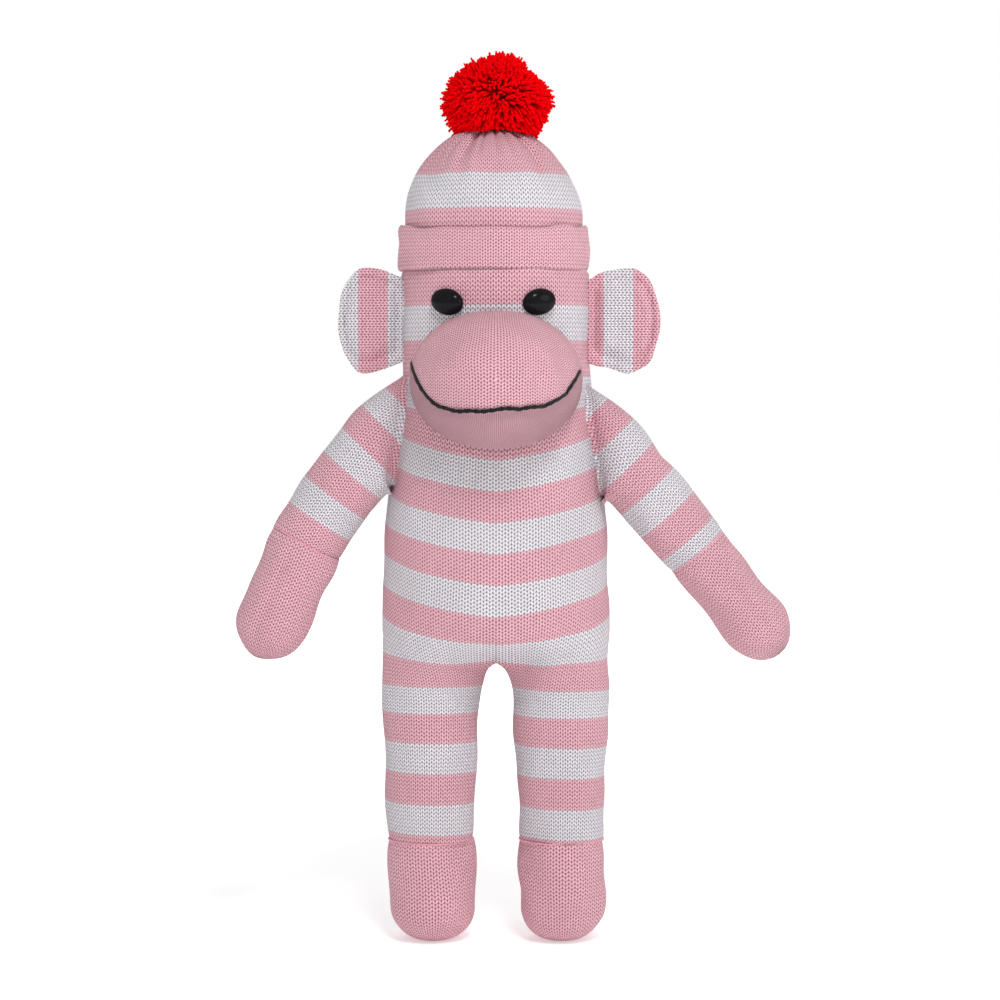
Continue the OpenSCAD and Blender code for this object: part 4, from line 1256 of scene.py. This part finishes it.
class MONKEY_OT_pompom(bpy.types.Operator):
    """Winds the red pompom: a core painted dark as the shade inside it, and strands of yarn that bend out
    from its tie
    """

    bl_idname = "monkey.pompom"
    bl_label = "Pompom"

    def execute(self, context):
        count = context.scene.monkey_form.strands
        top = corners("pompom")[1][2]
        centre, half = middle("pompom") - AXIS, half_size("pompom")
        half[2] = 21.9 * MM
        centre[2] = top - half[2]
        rng = np.random.default_rng(7)
        path, side, steps = strand_paths(rng, count, centre, half, top)
        tangent = unit(np.gradient(path, axis=1))
        first = unit(np.cross(tangent, side))[:, :, None]
        second = np.cross(tangent[:, :, None], first)
        a = ring(4)[0][:, None]
        thick = rng.uniform(0.58, 0.80, (count, 1, 1, 1)) * MM
        taper = np.where(np.arange(STRAND_STEPS) == STRAND_STEPS - 1, 0.8, 1.0)[None, :, None, None]
        grids = path[:, :, None] + thick * taper * (np.cos(a) * first + np.sin(a) * second)
        own, along = np.broadcast_arrays(rng.random((count, 1, 1)), steps, np.zeros(grids.shape[:3]))[:2]
        # The pompom yarn's second colour is the painted shade at the strands' roots.
        strands = many_tubes("pompom_strands", grids + AXIS,
                             pompom_material("pompom_yarn", (0.85, 0.0, 0.003), (0.27, 0.0, 0.001)),
                             along=along, own=own)
        finish(strands, "red_yarn", ["pompom"], "pompom")

        # The core and the tie are painted darker than the strands: painted shade deep inside the pompom.
        red = yarn_material("yarn_red", (0.60, 0.0, 0.003), (0.25, 0.0, 0.001), 1200.0, 1.0, 0.0)
        a, p = ring(48), evenly(np.pi - 0.05, 0.05, 30)
        core = stack(np.sin(p) * np.cos(a), np.sin(p) * np.sin(a), np.cos(p))
        core = core * half * [0.60, 0.60, 0.64] * (1 + 0.05 * lumps(core, 0.5, 19))[..., None]
        core[..., 2] = np.maximum(core[..., 2], -half[2] * 0.40)
        uv = stack(np.linspace(0, 30, 49), evenly(0, 20, 30))
        wound = surface("pompom_core", core + centre + AXIS, uv, red)
        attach(wound, "pompom")

        low, high = corners("pompom_tie")
        t = np.linspace(0, 1, 120)
        path = stack(2.2 * MM * np.cos(t * 44), 2.2 * MM * np.sin(t * 44),
                     low[2] + 0.6 * MM + (high[2] - low[2] - 1.2 * MM) * t)
        tie = tube("pompom_tie_wound", path, 0.55 * MM, red, 0.8, 0.18)
        finish(tie, "red_yarn", ["pompom_tie"], "pompom")
        return {"FINISHED"}


# ---- stage ----


def area_light(name, place, size, power):
    """A round white lamp that points at the toy's middle."""
    lamp = bpy.data.lights.new(name, "AREA")
    lamp.shape = "DISK"
    lamp.size = size
    lamp.energy = power
    obj = bpy.data.objects.new(name, lamp)
    bpy.context.scene.collection.objects.link(obj)
    obj.location = AXIS + place
    way = np.array([0.0, 0.0, 0.22]) - place
    from_front = math.atan2(math.hypot(way[0], way[1]), -way[2])
    obj.rotation_euler = (from_front, 0, math.atan2(way[1], way[0]) - math.pi / 2)


class MONKEY_OT_stage(bpy.types.Operator):
    """Sets the pale floor, the soft light and the camera"""

    bl_idname = "monkey.stage"
    bl_label = "Stage"

    def execute(self, context):
        stage = context.scene.monkey_stage
        scene = context.scene
        data = bpy.data.cameras.new("camera")
        data.sensor_width = 36
        data.lens = 18 / math.tan(stage.view / 2)
        camera = bpy.data.objects.new("camera", data)
        scene.collection.objects.link(camera)
        camera.location = AXIS + [1.8 * MM, -stage.distance, stage.height]
        camera.rotation_euler = (math.pi / 2 - stage.pitch, 0, 0)
        scene.camera = camera
        scene.view_settings.view_transform = "Standard"

        world = bpy.data.worlds.new("studio")
        scene.world = world
        world.use_nodes = True
        tree = world.node_tree
        tree.nodes.clear()
        start = Value(tree, None)
        white = (1.0, 1.0, 1.0, 1.0)
        glow = start.node("ShaderNodeBackground", Color=white, Strength=stage.world)
        seen = start.node("ShaderNodeBackground", Color=white, Strength=1.0)
        both = start.node("ShaderNodeMixShader", i0=start.node("ShaderNodeLightPath"), i1=glow, i2=seen)
        start.node("ShaderNodeOutputWorld", Surface=both)

        across = np.linspace(-4.0, 4.0, 3)
        uv = stack(across, across[:, None])
        material, shader, start = new_material("floor_paper", 0.95, specular=0.1)
        paper = grain(start, 60.0, 2.0, 9.0)
        plug(shader, "Base Color", paper.mix((0.90, 0.90, 0.905), (0.93, 0.93, 0.935)))
        # The floor glows as painted light: dimly next to the toy and full white further off, where the lamps
        # fall off.
        place = start.node("ShaderNodeTexCoord", out=3)
        far = start.node("ShaderNodeVectorMath", {"operation": "LENGTH"}, out=1, i0=place).step(0.25, 1.2)
        plug(shader, "Emission Color", far.mix((0.38, 0.38, 0.38), (1.0, 1.0, 1.0)))
        shader.inputs["Emission Strength"].default_value = 1.0
        floor = stack(uv[..., 0], uv[..., 1], 0.0)
        surface("floor", floor, uv, material, wrap=False, close=(False, False))

        area_light("key_light", (0.25, -1.15, 1.55), 0.45, stage.key)
        area_light("fill_light", (1.3, -0.9, 0.8), 0.9, stage.fill)
        area_light("back_light", (0.2, 1.3, 0.9), 0.9, stage.fill)
        return {"FINISHED"}


class MONKEY_PT_panel(bpy.types.Panel):
    """Lists the pieces and the sizes and colours that can be changed"""

    bl_idname = "MONKEY_PT_panel"
    bl_label = "Knitted monkey"
    bl_space_type = "VIEW_3D"
    bl_region_type = "UI"
    bl_category = "Monkey"

    def draw(self, context):
        for group in settings(context):
            box = self.layout.box()
            for name in group.__annotations__:
                box.prop(group, name)
        for maker in MAKERS:
            self.layout.operator(maker.bl_idname)


MAKERS = (
    MONKEY_OT_stage, MONKEY_OT_trunk, MONKEY_OT_legs, MONKEY_OT_feet, MONKEY_OT_arms,
    MONKEY_OT_ears, MONKEY_OT_muzzle, MONKEY_OT_eyes, MONKEY_OT_hat, MONKEY_OT_pompom,
)
GROUPS = (MONKEY_PG_knit, MONKEY_PG_form, MONKEY_PG_stage)


def register():
    for cls in (*GROUPS, *MAKERS, MONKEY_PT_panel):
        bpy.utils.register_class(cls)
    for cls in GROUPS:
        name = "monkey_" + cls.__name__.rsplit("_", 1)[1]
        setattr(bpy.types.Scene, name, bpy.props.PointerProperty(type=cls))


def unregister():
    for cls in GROUPS:
        delattr(bpy.types.Scene, "monkey_" + cls.__name__.rsplit("_", 1)[1])
    for cls in reversed((*GROUPS, *MAKERS, MONKEY_PT_panel)):
        bpy.utils.unregister_class(cls)


def main():
    register()
    for maker in MAKERS:
        group, name = maker.bl_idname.split(".")
        if getattr(getattr(bpy.ops, group), name)() != {"FINISHED"}:
            raise RuntimeError(f"{maker.bl_label} could not be made")


if __name__ == "__main__":
    main()
